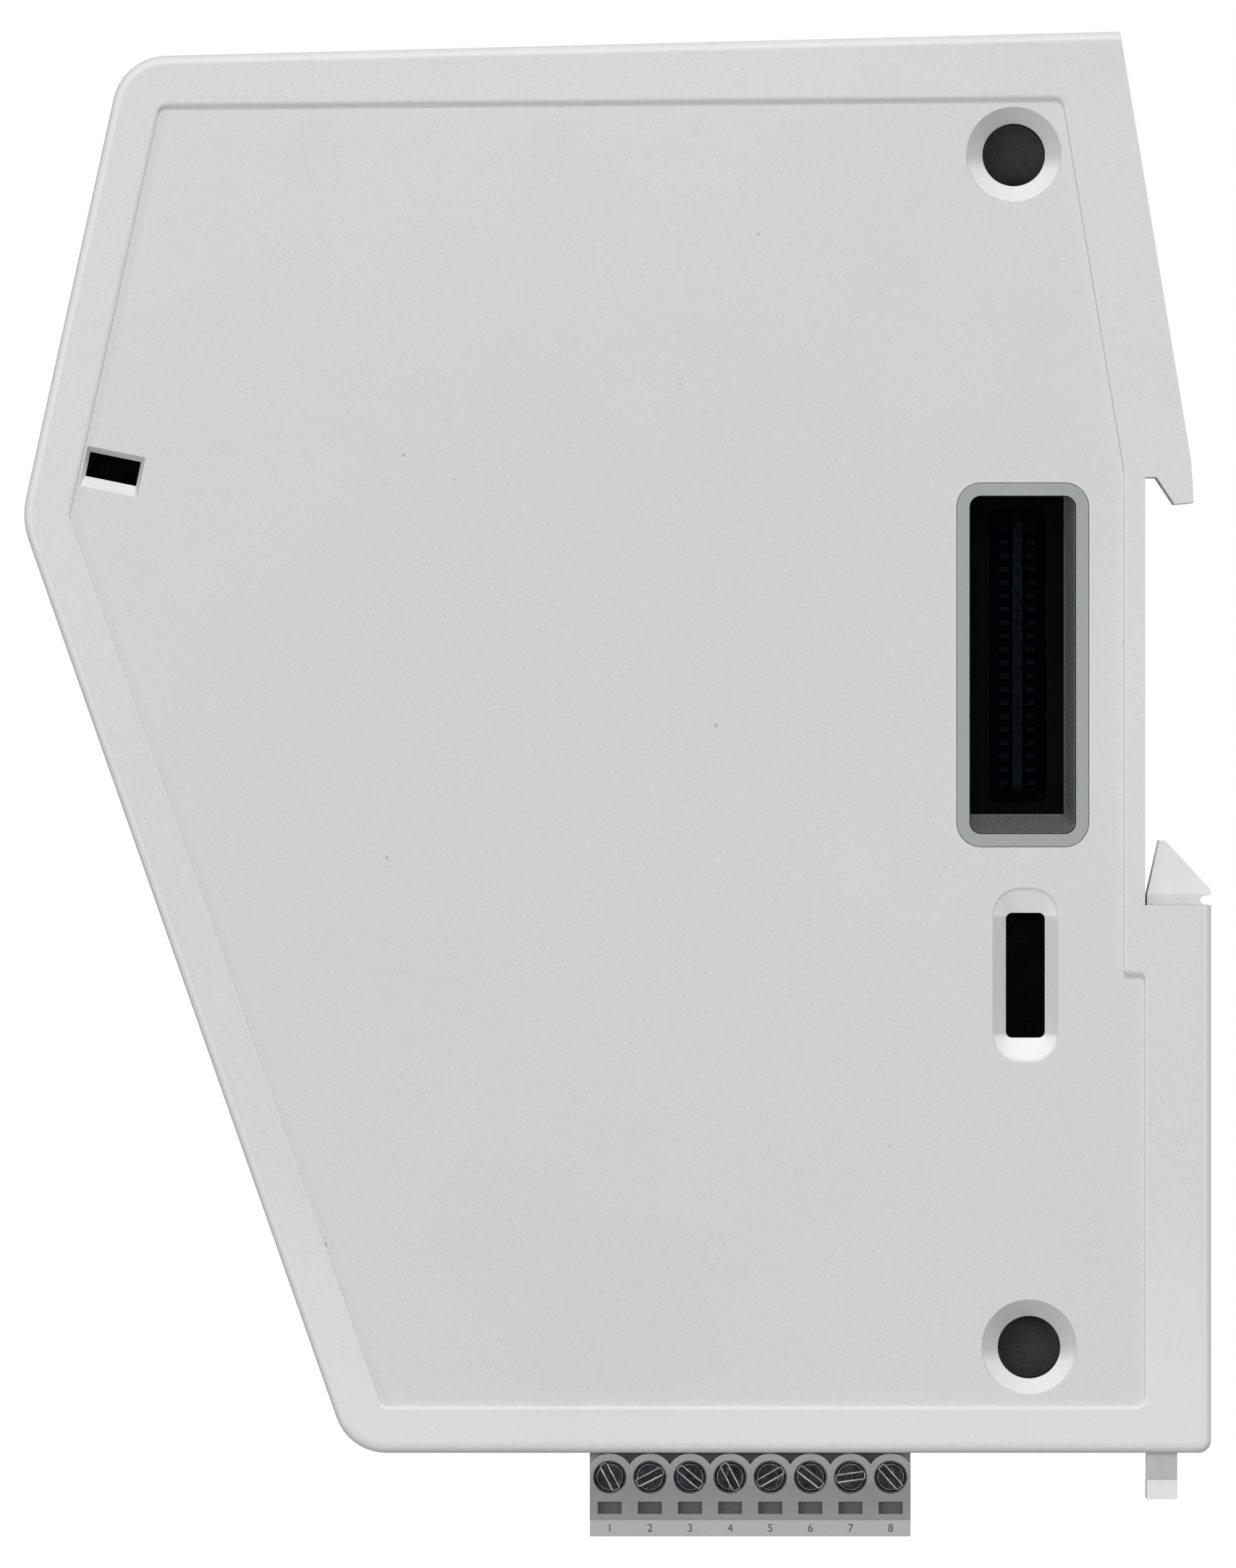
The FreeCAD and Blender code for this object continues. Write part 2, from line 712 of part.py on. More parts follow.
def add_common_details(body, side):
    """What both halves carry: half of the spring rib, cooling slots and the terminal's way out."""
    low, high = (side, 0) if side < 0 else (0, side)
    block(
        body, "Additive",
        ("-wall / 2", f"{low} * rib_width / 2", "-rib_drop - rib_thick"),
        (f"{CHANNEL_REACH} - rib_gap", f"{high} * rib_width / 2", "-rib_drop"),
        "spring_rib",
    )
    vent_low, vent_high = f"{low} * vent_half_length", f"{high} * vent_half_length"
    vent = block(
        body, "Subtractive",
        ("-vent_inset", vent_low, "top_rise - nose_depth * tan(top_pitch) - wall - overrun"),
        ("vent_width - vent_inset", vent_high, "top_rise + overrun"),
        "top_vent",
    )
    repeat(body, [vent], "X", "vent_pitch", "vent_count", "top_vents")
    vent = block(
        body, "Subtractive",
        ("-vent_bottom_inset", vent_low, "-foot_drop - overrun"),
        ("vent_width - vent_bottom_inset", vent_high, "wall + overrun - foot_drop"),
        "bottom_vent",
    )
    repeat(body, [vent], "X", "vent_pitch", "vent_bottom_count", "bottom_vents")
    near_reach = f"{HEADER_NEAR} - header_opening_gap" if side < 0 else "0"
    far_reach = f"{BOARD_FACE} + header_opening_gap" if side > 0 else "0"
    block(
        body, "Subtractive",
        (f"-terminal_inset - {HEADER_HALF} - header_opening_gap", near_reach, "-foot_drop - overrun"),
        (f"-terminal_inset + {HEADER_HALF} + header_opening_gap", far_reach, "wall + overrun - foot_drop"),
        "terminal_opening",
    )


def tilted_rectangle(centre, lean, left, right, down, up):
    """Corners of a rectangle turned down to the right, given by its reach on each side."""
    across, rise = centre
    return [
        (
            f"{across} + ({x}) * cos({lean}) + ({z}) * sin({lean})",
            f"{rise} - ({x}) * sin({lean}) + ({z}) * cos({lean})",
        )
        for x, z in (
            (f"-({left})", f"-({down})"),
            (right, f"-({down})"),
            (right, up),
            (f"-({left})", up),
        )
    ]


def make_case_shell_near():
    body = half_shell("case_shell_near", -1)
    panel_level = f"-{PANEL_FACE}"
    bevel_level = f"slot_bevel_depth - {PANEL_FACE}"
    inner_level = f"-{INNER_FACE}"
    through = "wall + slot_boss + slot_bevel_depth"

    half_length, half_height = "front_slot_length / 2", "front_slot_height / 2"
    front = ("-front_slot_inset", "front_slot_rise")
    opening = tilted_rectangle(front, "front_slot_lean", half_length, half_length, half_height, half_height)
    mouth = tilted_rectangle(
        front, "front_slot_lean",
        f"{half_length} + front_bevel_end", f"{half_length} + front_bevel_end",
        f"{half_height} + front_bevel_lower", f"{half_height} + front_bevel_upper",
    )
    collar = tilted_rectangle(
        front, "front_slot_lean",
        f"{half_length} + slot_boss_margin", f"{half_length} + slot_boss_margin",
        f"{half_height} + 2 * slot_boss_margin", f"{half_height} + slot_boss_margin",
    )
    sketch = polygon(new_sketch(body, "XZ", inner_level, "front_collar_outline"), collar)
    extrude(body, "Pad", sketch, "slot_boss", 1, "front_collar")
    sketches = [
        polygon(new_sketch(body, "XZ", panel_level, "front_mouth_outline"), mouth),
        polygon(new_sketch(body, "XZ", bevel_level, "front_throat_outline"), opening),
    ]
    loft(body, "SubtractiveLoft", sketches, "front_bevel")
    sketch = polygon(new_sketch(body, "XZ", panel_level, "front_slot_outline"), opening)
    extrude(body, "Pocket", sketch, through, 1, "front_slot")

    rear = ("-rear_slot_inset", "-rear_slot_drop")
    mouth_size = ("rear_slot_width + 2 * rear_bevel_side", "rear_slot_length + 2 * rear_bevel_end")
    sketch = rounded_rectangle(
        new_sketch(body, "XZ", inner_level, "rear_collar_outline"), rear,
        mouth_size[0] + " + slot_boss_margin", mouth_size[1] + " + slot_boss_margin", "rear_bevel_corner",
    )
    extrude(body, "Pad", sketch, "slot_boss", 1, "rear_collar")
    sketches = [
        rounded_rectangle(
            new_sketch(body, "XZ", panel_level, "rear_mouth_outline"), rear,
            *mouth_size, "rear_bevel_corner",
        ),
        rounded_rectangle(
            new_sketch(body, "XZ", bevel_level, "rear_throat_outline"), rear,
            "rear_slot_width", "rear_slot_length", "rear_slot_corner",
        ),
    ]
    loft(body, "SubtractiveLoft", sketches, "rear_bevel")
    sketch = rounded_rectangle(
        new_sketch(body, "XZ", panel_level, "rear_slot_outline"), rear,
        "rear_slot_width", "rear_slot_length", "rear_slot_corner",
    )
    extrude(body, "Pocket", sketch, through, 1, "rear_slot")

    sketch = rounded_rectangle(
        new_sketch(body, "XZ", panel_level, "window_outline"), WINDOW,
        f"{FRAME_WIDTH} + 2 * frame_gap", f"{FRAME_HEIGHT} + 2 * frame_gap", "frame_corner + frame_gap",
    )
    extrude(body, "Pocket", sketch, "wall + overrun", 1, "bus_window")

    for name, (across, rise) in (("upper", UPPER_BORE), ("lower", LOWER_BORE)):
        rod(
            body, "Additive", (across, f"-{INNER_FACE} - post_root", rise), "+Y",
            "bore_diameter / 2 + bore_wall", "bore_depth + bore_wall + post_root - wall", name + "_tube",
        )
        rod(
            body, "Subtractive", (across, "-case_width / 2", rise), "+Y",
            "bore_diameter / 2", "bore_depth", name + "_bore",
        )
        cone(
            body, "Subtractive", (across, panel_level, rise), "+Y",
            ("bore_mouth / 2", "bore_diameter / 2"), "bore_cone_depth", name + "_mouth",
        )
    for number, (across, rise) in enumerate(POSTS, start=1):
        rod(
            body, "Additive", (across, f"-{INNER_FACE} - post_root", rise), "+Y",
            "post_radius", f"{BOARD_FACE} + {INNER_FACE} + post_root", f"post_{number}",
        )
        rod(
            body, "Additive", (across, BOARD_FACE, rise), "+Y",
            "post_pin_radius", "post_pin_length", f"pin_{number}",
        )


def make_case_shell_far():
    body = half_shell("case_shell_far", 1)
    for number, (across, rise) in enumerate(POSTS, start=1):
        rod(
            body, "Additive", (across, f"{INNER_FACE} + post_root", rise), "-Y",
            "shoulder_post_radius", "board_standoff + post_root", f"shoulder_{number}",
        )
        rod(
            body, "Additive", (across, BOARD_BACK, rise), "-Y",
            "socket_post_radius", "board_thick - cage_gap", f"socket_{number}",
        )
        rod(
            body, "Subtractive", (across, BOARD_FACE, rise), "+Y",
            "post_pin_radius + pin_clearance", "post_pin_length + post_clearance", f"socket_bore_{number}",
        )
    for number in range(SIZES["guide_count"]):
        shift = f"({number} - (guide_count - 1) / 2) * guide_pitch"
        start = (
            f"{GUIDE_X} + {shift} * sin(upper_lean) - overrun * cos(upper_lean)",
            GUIDE_LEVEL,
            f"guide_rise + {shift} * cos(upper_lean) + overrun * sin(upper_lean)",
        )
        hole = rod(
            body, "Subtractive", start, "+X",
            "guide_pip_radius + guide_pip_gap", "wall + 2 * overrun", f"light_hole_{number + 1}",
        )
        hole.setExpression("Placement.Rotation.Angle", formula("90 + upper_lean"))


# Bus window and socket

def make_bus_window_frame():
    body = new_body("bus_window_frame")
    depth = f"{SOCKET_SHOULDER} + {PANEL_FACE} - frame_seat_gap"
    outer = rounded_rectangle(
        new_sketch(body, "XZ", f"-{PANEL_FACE}", "frame_outline"), WINDOW,
        FRAME_WIDTH, FRAME_HEIGHT, "frame_corner",
    )
    extrude(body, "Pad", outer, depth, 1, "frame")
    inner = rounded_rectangle(
        new_sketch(body, "XZ", f"-{PANEL_FACE}", "window_outline"), WINDOW,
        "window_width", "window_height", "window_corner",
    )
    extrude(body, "Pocket", inner, None, 1, "window")


def funnel_outline(body, level, name, rail_side, foot_side, corner):
    """Opening of the socket's funnel at a level. It runs out past the window at the front and the top."""
    low_x = "-window_inset - window_width / 2 - 2 * overrun"
    high_x = f"-window_inset + {SOCKET_REACH_X} - {rail_side}"
    low_z = f"{foot_side} - window_drop - {SOCKET_REACH_Z}"
    high_z = "window_height / 2 - window_drop + 2 * overrun"
    centre = (f"(({low_x}) + ({high_x})) / 2", f"(({low_z}) + ({high_z})) / 2")
    sketch = new_sketch(body, "XZ", level, name)
    return rounded_rectangle(sketch, centre, f"({high_x}) - ({low_x})", f"({high_z}) - ({low_z})", corner)


def make_bus_socket_body():
    body = new_body("bus_socket_body")
    centre = (SOCKET_X, SOCKET_Z)
    base = rounded_rectangle(
        new_sketch(body, "XZ", SOCKET_SHOULDER, "base_outline"), WINDOW,
        FRAME_WIDTH, FRAME_HEIGHT, "frame_corner",
    )
    extrude(body, "Pad", base, f"{BOARD_FACE} - {SOCKET_SHOULDER}", 1, "base")
    head = rounded_rectangle(
        new_sketch(body, "XZ", SOCKET_SHOULDER, "head_outline"), WINDOW,
        "window_width - 2 * socket_gap", "window_height - 2 * socket_gap", "window_corner - socket_gap",
    )
    extrude(body, "Pad", head, f"{SOCKET_SHOULDER} - {RIM_LEVEL}", -1, "head")
    land, side, foot = "socket_rim_land", "socket_rim_side", "socket_rim_foot"
    mouth = funnel_outline(body, RIM_LEVEL, "mouth_outline", land, land, "window_corner")
    floor = funnel_outline(body, SOCKET_TOP, "floor_outline", side, foot, "socket_corner")
    loft(body, "SubtractiveLoft", [mouth, floor], "funnel")
    cavity = rounded_rectangle(
        new_sketch(body, "XZ", SOCKET_TOP, "cavity_outline"), centre,
        "socket_cavity_width", "socket_cavity_height", "socket_corner",
    )
    extrude(body, "Pocket", cavity, "socket_cavity_depth", 1, "cavity")
    tongue_tip, tongue_root = f"{SOCKET_TOP} + tongue_recess", f"{SOCKET_FLOOR} + tongue_recess"
    block(
        body, "Additive",
        (f"{SOCKET_X} - tongue_thick / 2", tongue_tip, f"{SOCKET_Z} - tongue_height / 2"),
        (f"{SOCKET_X} + tongue_thick / 2", tongue_root, f"{SOCKET_Z} + tongue_height / 2"),
        "tongue",
    )
    half = "(contact_tail / 2 + contact_slot_gap)"
    holes = [
        block(
            body, "Subtractive",
            (f"{SOCKET_X} + {sign} * {CONTACT_MIDDLE} - {half}", SOCKET_FLOOR, f"{FIRST_CONTACT} - {half}"),
            (f"{SOCKET_X} + {sign} * {CONTACT_MIDDLE} + {half}", BOARD_FACE, f"{FIRST_CONTACT} + {half}"),
            f"tail_hole_{name}",
        )
        for sign, name in ((-1, "front"), (1, "rear"))
    ]
    repeat(body, holes, "Z", "contact_pitch", "contact_rows", "tail_holes")


def make_bus_socket_contacts():
    body = new_body("bus_socket_contacts")
    tip, tail_end = f"{SOCKET_TOP} + contact_recess", f"{BOARD_BACK} + tail_length"
    features = []
    for sign, name in ((-1, "front"), (1, "rear")):
        middle = f"{SOCKET_X} + {sign} * {CONTACT_MIDDLE}"
        features.append(block(
            body, "Additive",
            (f"{middle} - contact_depth / 2", tip, f"{FIRST_CONTACT} - contact_width / 2"),
            (f"{middle} + contact_depth / 2", SOCKET_FLOOR, f"{FIRST_CONTACT} + contact_width / 2"),
            name + "_blade",
        ))
        features.append(block(
            body, "Additive",
            (f"{middle} - contact_tail / 2", SOCKET_FLOOR, f"{FIRST_CONTACT} - contact_tail / 2"),
            (f"{middle} + contact_tail / 2", tail_end, f"{FIRST_CONTACT} + contact_tail / 2"),
            name + "_tail",
        ))
    repeat(body, features, "Z", "contact_pitch", "contact_rows", "contact_rows")


# Circuit board and the parts on it

def make_main_board():
    body = new_body("main_board")
    sketch = new_sketch(body, "XZ", BOARD_FACE, "board_outline")
    outline = polygon(sketch, inner_outline("wall + board_margin"))
    extrude(body, "Pad", outline, "board_thick", 1, "board")
    for number, (across, rise) in enumerate(POSTS, start=1):
        rod(
            body, "Subtractive", (across, BOARD_FACE, rise), "+Y",
            "socket_post_radius + post_clearance", "board_thick", f"post_hole_{number}",
        )
    reach = "(pin_size / 2 + pin_clearance)"
    pin_hole = block(
        body, "Subtractive",
        (f"{FIRST_POLE} - {reach}", BOARD_FACE, f"{PIN_BEND} - pin_clearance"),
        (f"{FIRST_POLE} + {reach}", BOARD_BACK, f"{PIN_BEND} + pin_size + pin_clearance"),
        "pin_hole",
    )
    repeat(body, [pin_hole], "X", "pole_pitch", "pole_count", "pin_holes")
    half = "(contact_tail / 2 + contact_slot_gap)"
    holes = [
        block(
            body, "Subtractive",
            (f"{SOCKET_X} + {sign} * {CONTACT_MIDDLE} - {half}", BOARD_FACE, f"{FIRST_CONTACT} - {half}"),
            (f"{SOCKET_X} + {sign} * {CONTACT_MIDDLE} + {half}", BOARD_BACK, f"{FIRST_CONTACT} + {half}"),
            f"tail_hole_{name}",
        )
        for sign, name in ((-1, "front"), (1, "rear"))
    ]
    repeat(body, holes, "Z", "contact_pitch", "contact_rows", "tail_holes")


def board_box(label, centre, width, height, thickness):
    """A rectangular part that stands on the board's face."""
    across, rise = centre
    part = doc.addObject("Part::Box", label)
    part.Label = label
    bind(part, Length=width, Width=thickness, Height=height)
    put(part, (f"{across} - {width} / 2", f"{BOARD_FACE} - {thickness}", f"{rise} - {height} / 2"))
    PARTS.append(part)


def make_board_parts():
    board_box(
        "controller_chip", ("-chip_inset", "chip_rise"), "chip_size", "chip_size", "chip_height",
    )
    board_box(
        "supply_converter", ("-converter_inset", "-converter_drop"),
        "converter_width", "converter_length", "converter_height",
    )
    body = new_body("storage_capacitors")
    can = rod(
        body, "Additive", ("-capacitor_inset", BOARD_FACE, "-capacitor_drop"), "-Y",
        "capacitor_radius", "capacitor_height", "can",
    )
    repeat(body, [can], "X", "capacitor_pitch", "capacitor_count", "cans")
    body = new_body("signal_isolators")
    first = "(-terminal_inset - (isolator_count - 1) * isolator_pitch / 2)"
    package = block(
        body, "Additive",
        (f"{first} - isolator_width / 2", f"{BOARD_FACE} - isolator_height", "-isolator_drop"),
        (f"{first} + isolator_width / 2", BOARD_FACE, "isolator_length - isolator_drop"),
        "package",
    )
    repeat(body, [package], "X", "isolator_pitch", "isolator_count", "packages")


def lean_on_front(body):
    """Puts a body on the upper front face: its X runs inwards and its Z up the face."""
    put(body, (GUIDE_X, GUIDE_LEVEL, "guide_rise"))
    body.Placement.Rotation = FreeCAD.Rotation(FreeCAD.Vector(0, 1, 0), SIZES["upper_lean"])
    body.setExpression("Placement.Rotation.Angle", formula("upper_lean"))


def make_light_guide():
    body = new_body("light_guide")
    reach = "((guide_count - 1) * guide_pitch / 2)"
    block(
        body, "Additive",
        ("wall + guide_pip_gap", "-guide_bar_width / 2", f"-{reach} - guide_bar_end"),
        ("wall + guide_pip_gap + guide_bar_thick", "guide_bar_width / 2", f"{reach} + guide_bar_end"),
        "bar",
    )
    pip = rod(
        body, "Additive", ("guide_pip_gap", "0", f"-{reach}"), "+X",
        "guide_pip_radius", "wall + guide_bar_thick / 2", "pip",
    )
    repeat(body, [pip], "Z", "guide_pitch", "guide_count", "pips")
    lean_on_front(body)


def make_status_lamps():
    body = new_body("status_lamps")
    near_side = "(wall + guide_pip_gap + guide_bar_thick + led_gap)"
    first = "(-(guide_count - 1) * guide_pitch / 2)"
    lamp = block(
        body, "Additive",
        (near_side, "guide_standoff - led_height", f"{first} - led_size / 2"),
        (f"{near_side} + led_size", "guide_standoff", f"{first} + led_size / 2"),
        "lamp",
    )
    repeat(body, [lamp], "Z", "guide_pitch", "guide_count", "lamps")
    lean_on_front(body)


# Terminal header, plug and clamps

def make_terminal_header():
    body = new_body("terminal_header")
    block(
        body, "Additive",
        (f"-terminal_inset - {HEADER_HALF}", HEADER_NEAR, HEADER_MOUTH),
        (f"-terminal_inset + {HEADER_HALF}", BOARD_FACE, HEADER_TOP),
        "shroud",
    )
    block(
        body, "Subtractive",
        (f"-terminal_inset - {HEADER_HALF} + header_wall", f"{NOSE_NEAR} - header_clearance", HEADER_MOUTH),
        (
            f"-terminal_inset + {HEADER_HALF} - header_wall",
            f"{NOSE_FAR} + header_clearance",
            HEADER_CEILING,
        ),
        "cavity",
    )
    hole = block(
        body, "Subtractive",
        (f"{FIRST_POLE} - pin_size / 2", f"{PIN_CENTRE} - pin_size / 2", HEADER_CEILING),
        (f"{FIRST_POLE} + pin_size / 2", f"{PIN_CENTRE} + pin_size / 2", HEADER_TOP),
        "pin_hole",
    )
    repeat(body, [hole], "X", "pole_pitch", "pole_count", "pin_holes")


def make_header_pins():
    body = new_body("header_pins")
    near_side, far_side = f"{PIN_CENTRE} - pin_size / 2", f"{PIN_CENTRE} + pin_size / 2"
    profile = polygon(new_sketch(body, "YZ", FIRST_POLE, "pin_profile"), [
        (near_side, f"{HEADER_MOUTH} + pin_mouth_gap"),
        (far_side, f"{HEADER_MOUTH} + pin_mouth_gap"),
        (far_side, PIN_BEND),
        (f"{BOARD_BACK} + tail_length", PIN_BEND),
        (f"{BOARD_BACK} + tail_length", f"{PIN_BEND} + pin_size"),
        (near_side, f"{PIN_BEND} + pin_size"),
    ])
    pin = centred_pad(body, profile, "pin_size", "pin")
    repeat(body, [pin], "X", "pole_pitch", "pole_count", "pins")


def make_terminal_plug_body():
    body = new_body("terminal_plug_body")
    block(
        body, "Additive",
        (PLUG_LOW_X, PLUG_NEAR, "-plug_drop"),
        (PLUG_HIGH_X, PLUG_FAR, "-screw_drop"),
        "clamp_block",
    )
    block(
        body, "Additive",
        (PLUG_LOW_X, f"{PLUG_NEAR} + scallop_depth", "-screw_drop"),
        (PLUG_HIGH_X, PLUG_FAR, PLUG_TOP),
        "shoulder",
    )
    block(
        body, "Additive",
        (f"{PLUG_LOW_X} + nose_side", NOSE_NEAR, PLUG_TOP),
        (f"{PLUG_HIGH_X} - nose_side", NOSE_FAR, NOSE_TOP),
        "nose",
    )
    scallop = rod(
        body, "Additive", (FIRST_POLE, PLUG_NEAR, "-screw_drop"), "+Y",
        "scallop_radius", "scallop_depth", "scallop",
    )
    repeat(body, [scallop], "X", "pole_pitch", "pole_count", "scallops")
    for end, start, stop in (
        ("front", f"{PLUG_LOW_X} - scallop_radius", PLUG_LOW_X),
        ("rear", PLUG_HIGH_X, f"{PLUG_HIGH_X} + scallop_radius"),
    ):
        block(
            body, "Subtractive",
            (start, PLUG_NEAR, "-plug_drop"),
            (stop, f"{PLUG_NEAR} + scallop_depth", PLUG_TOP),
            f"{end}_end",
        )
    block(
        body, "Subtractive",
        (PLUG_LOW_X, PLUG_NEAR, "-plug_drop"),
        (PLUG_HIGH_X, f"{PLUG_NEAR} + strip_thick", "strip_height - plug_drop"),
        "strip_seat",
    )
    half_cage = f"({CAGE_HALF} + cage_gap)"
    half_bar = f"({BAR_HALF} + 2 * cage_gap)"
    hole = rod(
        body, "Subtractive", (FIRST_POLE, PLUG_NEAR, "-screw_drop"), "+Y",
        "screw_head_radius + screw_hole_gap", f"{CAPTIVE_FACE} - {PLUG_NEAR}", "screw_hole",
    )
    repeat(body, [hole], "X", "pole_pitch", "pole_count", "screw_holes")
    hole = rod(
        body, "Subtractive", (FIRST_POLE, CAPTIVE_FACE, "-screw_drop"), "+Y",
        "shank_radius + captive_gap", "captive_wall", "captive_hole",
    )
    repeat(body, [hole], "X", "pole_pitch", "pole_count", "captive_holes")
    slot_near = f"{PIN_CENTRE} - {LEAF_OUTER} - cage_gap"
    slot_far = f"{PIN_CENTRE} + {LEAF_OUTER} + cage_gap"
    web_top = f"{WEB_HIGH} + cage_gap"
    entry_near = f"({CONTACT_FAR} + cage_gap)"
    chambers = [
        block(
            body, "Subtractive",
            (f"{FIRST_POLE} - {half_cage}", CHAMBER_NEAR, CHAMBER_LOW),
            (f"{FIRST_POLE} + {half_cage}", f"{CAGE_FAR} + cage_gap", CHAMBER_HIGH),
            "cage_chamber",
        ),
        block(
            body, "Subtractive",
            (f"{FIRST_POLE} - {half_bar}", f"{CONTACT_NEAR} - cage_gap", CHAMBER_HIGH),
            (f"{FIRST_POLE} + {half_bar}", slot_far, web_top),
            "web_chamber",
        ),
        block(
            body, "Subtractive",
            (f"{FIRST_POLE} - {half_bar}", slot_near, web_top),
            (f"{FIRST_POLE} + {half_bar}", slot_far, NOSE_TOP),
            "contact_slot",
        ),
        block(
            body, "Subtractive",
            (f"{FIRST_POLE} - {CAGE_HALF}", entry_near, "-plug_drop"),
            (f"{FIRST_POLE} + {CAGE_HALF}", f"{entry_near} + wire_entry_depth", CHAMBER_LOW),
            "wire_entry",
        ),
        block(
            body, "Subtractive",
            (f"{FIRST_POLE} - test_slot_width / 2", PLUG_NEAR, "-test_slot_drop - test_slot_height / 2"),
            (
                f"{FIRST_POLE} + test_slot_width / 2",
                f"{PLUG_NEAR} + test_slot_depth",
                "test_slot_height / 2 - test_slot_drop",
            ),
            "test_slot",
        ),
    ]
    repeat(body, chambers, "X", "pole_pitch", "pole_count", "chambers")


def make_terminal_marker_strip():
    strip = doc.addObject("Part::Box", "terminal_marker_strip")
    strip.Label = "terminal_marker_strip"
    bind(strip, Length="pole_count * pole_pitch", Width="strip_thick", Height="strip_height")
    put(strip, (PLUG_LOW_X, PLUG_NEAR, "-plug_drop"))
    PARTS.append(strip)


def make_plug_contacts():
    body = new_body("plug_contacts")
    tip = f"{NOSE_TOP} - fork_tip_gap"
    profile = polygon(new_sketch(body, "YZ", FIRST_POLE, "contact_profile"), [
        (CONTACT_NEAR, f"{CHAMBER_LOW} + cage_gap"),
        (CONTACT_FAR, f"{CHAMBER_LOW} + cage_gap"),
        (CONTACT_FAR, WEB_LOW),
        (f"{PIN_CENTRE} + {LEAF_OUTER}", WEB_LOW),
        (f"{PIN_CENTRE} + {LEAF_OUTER}", tip),
        (f"{PIN_CENTRE} + {LEAF_INNER}", tip),
        (f"{PIN_CENTRE} + {LEAF_INNER}", WEB_HIGH),
        (f"{PIN_CENTRE} - {LEAF_INNER}", WEB_HIGH),
        (f"{PIN_CENTRE} - {LEAF_INNER}", tip),
        (f"{PIN_CENTRE} - {LEAF_OUTER}", tip),
        (f"{PIN_CENTRE} - {LEAF_OUTER}", WEB_HIGH),
        (CONTACT_NEAR, WEB_HIGH),
    ])
    contact = centred_pad(body, profile, f"2 * {BAR_HALF}", "contact")
    repeat(body, [contact], "X", "pole_pitch", "pole_count", "contacts")


def make_clamp(number, slot_turn):
    """The screw of one pole and the cage that it raises, both built at the pole's place."""
    pole = f"({FIRST_POLE} + {number - 1} * pole_pitch)"
    screw = new_body(f"clamp_screw_{number}")
    cone(
        screw, "Additive", (pole, SCREW_HEAD, "-screw_drop"), "+Y",
        ("screw_head_radius - screw_head_bevel", "screw_head_radius"), "screw_head_bevel", "head_bevel",
    )
    rod(
        screw, "Additive", (pole, f"{SCREW_HEAD} + screw_head_bevel", "-screw_drop"), "+Y",
        "screw_head_radius", "screw_head_height - screw_head_bevel", "head",
    )
    rod(
        screw, "Additive", (pole, CAPTIVE_FACE, "-screw_drop"), "+Y",
        "shank_radius", "shank_length", "shank",
    )
    reach, half_slot = "screw_head_radius + screw_hole_gap", "screw_slot_width / 2"
    outline = tilted_rectangle((pole, "-screw_drop"), slot_turn, reach, reach, half_slot, half_slot)
    sketch = polygon(new_sketch(screw, "XZ", SCREW_HEAD, "slot_outline"), outline)
    extrude(screw, "Pocket", sketch, "screw_slot_depth", 1, "slot")
    cage = new_body(f"clamp_cage_{number}")
    block(
        cage, "Additive",
        (f"{pole} - {CAGE_HALF}", CAGE_NEAR, "-screw_drop - cage_height / 2"),
        (f"{pole} + {CAGE_HALF}", CAGE_FAR, "cage_height / 2 - screw_drop"),
        "tube",
    )
    block(
        cage, "Subtractive",
        (f"{pole} - {CAGE_HALF} + cage_side", CAGE_WINDOW, "-screw_drop - cage_height / 2"),
        (
            f"{pole} + {CAGE_HALF} - cage_side",
            f"{CAGE_WINDOW} + cage_window",
            "cage_height / 2 - screw_drop",
        ),
        "window",
    )
    rod(
        cage, "Subtractive", (pole, CAGE_NEAR, "-screw_drop"), "+Y",
        "shank_radius + thread_gap", "cage_head", "thread",
    )


# Rail latch

def make_rail_latch():
    body = new_body("rail_latch")
    window_top = f"{SPRING_TOP} + spring_seat_gap"
    profile = polygon(new_sketch(body, "XZ", "0", "latch_profile"), [
        ("latch_tip_inner", LATCH_TIP),
        ("latch_tip_inner + latch_tip_width", LATCH_TIP),
        ("block_reach", f"{LATCH_TIP} - latch_ramp_drop"),
        ("block_reach", LATCH_LIP),
        ("block_reach - latch_notch_mouth", f"{LATCH_LIP} - latch_notch_lip"),
        ("block_reach - latch_neck", f"{LATCH_LIP} - latch_notch_drop"),
        ("block_reach - latch_notch_mouth", LATCH_NECK),
        (f"{CHANNEL_REACH} - latch_gap", LATCH_NECK),
        (f"{CHANNEL_REACH} - latch_gap", window_top),
        ("latch_gap + latch_thin", window_top),
        ("latch_gap + latch_thin", LATCH_FOOT),
        ("latch_gap", LATCH_FOOT),
        ("latch_gap", LATCH_LIP),
    ])
    centred_pad(body, profile, f"2 * {LATCH_HALF}", "slider")
    block(
        body, "Subtractive",
        ("0", "-spring_window_width / 2", "-rib_drop - rib_thick - rib_gap"),
        ("2 * latch_thin", "spring_window_width / 2", window_top),
        "spring_window",
    )
    for side, name in ((-1, "near"), (1, "far")):
        inner, outer = f"({LATCH_HALF} - latch_foot_notch)", f"({LATCH_HALF} + latch_side_gap)"
        start, end = (f"-{outer}", f"-{inner}") if side < 0 else (inner, outer)
        block(
            body, "Subtractive",
            ("0", start, f"{LATCH_FOOT} + latch_tab_height"),
            ("2 * latch_thin", end, "latch_tab_height - foot_drop"),
            f"foot_notch_{name}",
        )
    slot_foot = f"{LATCH_FOOT} + driver_slot_rise"
    block(
        body, "Subtractive",
        ("0", "-driver_slot_width / 2", slot_foot),
        ("2 * latch_thin", "driver_slot_width / 2", f"{slot_foot} + driver_slot_height"),
        "driver_slot",
    )


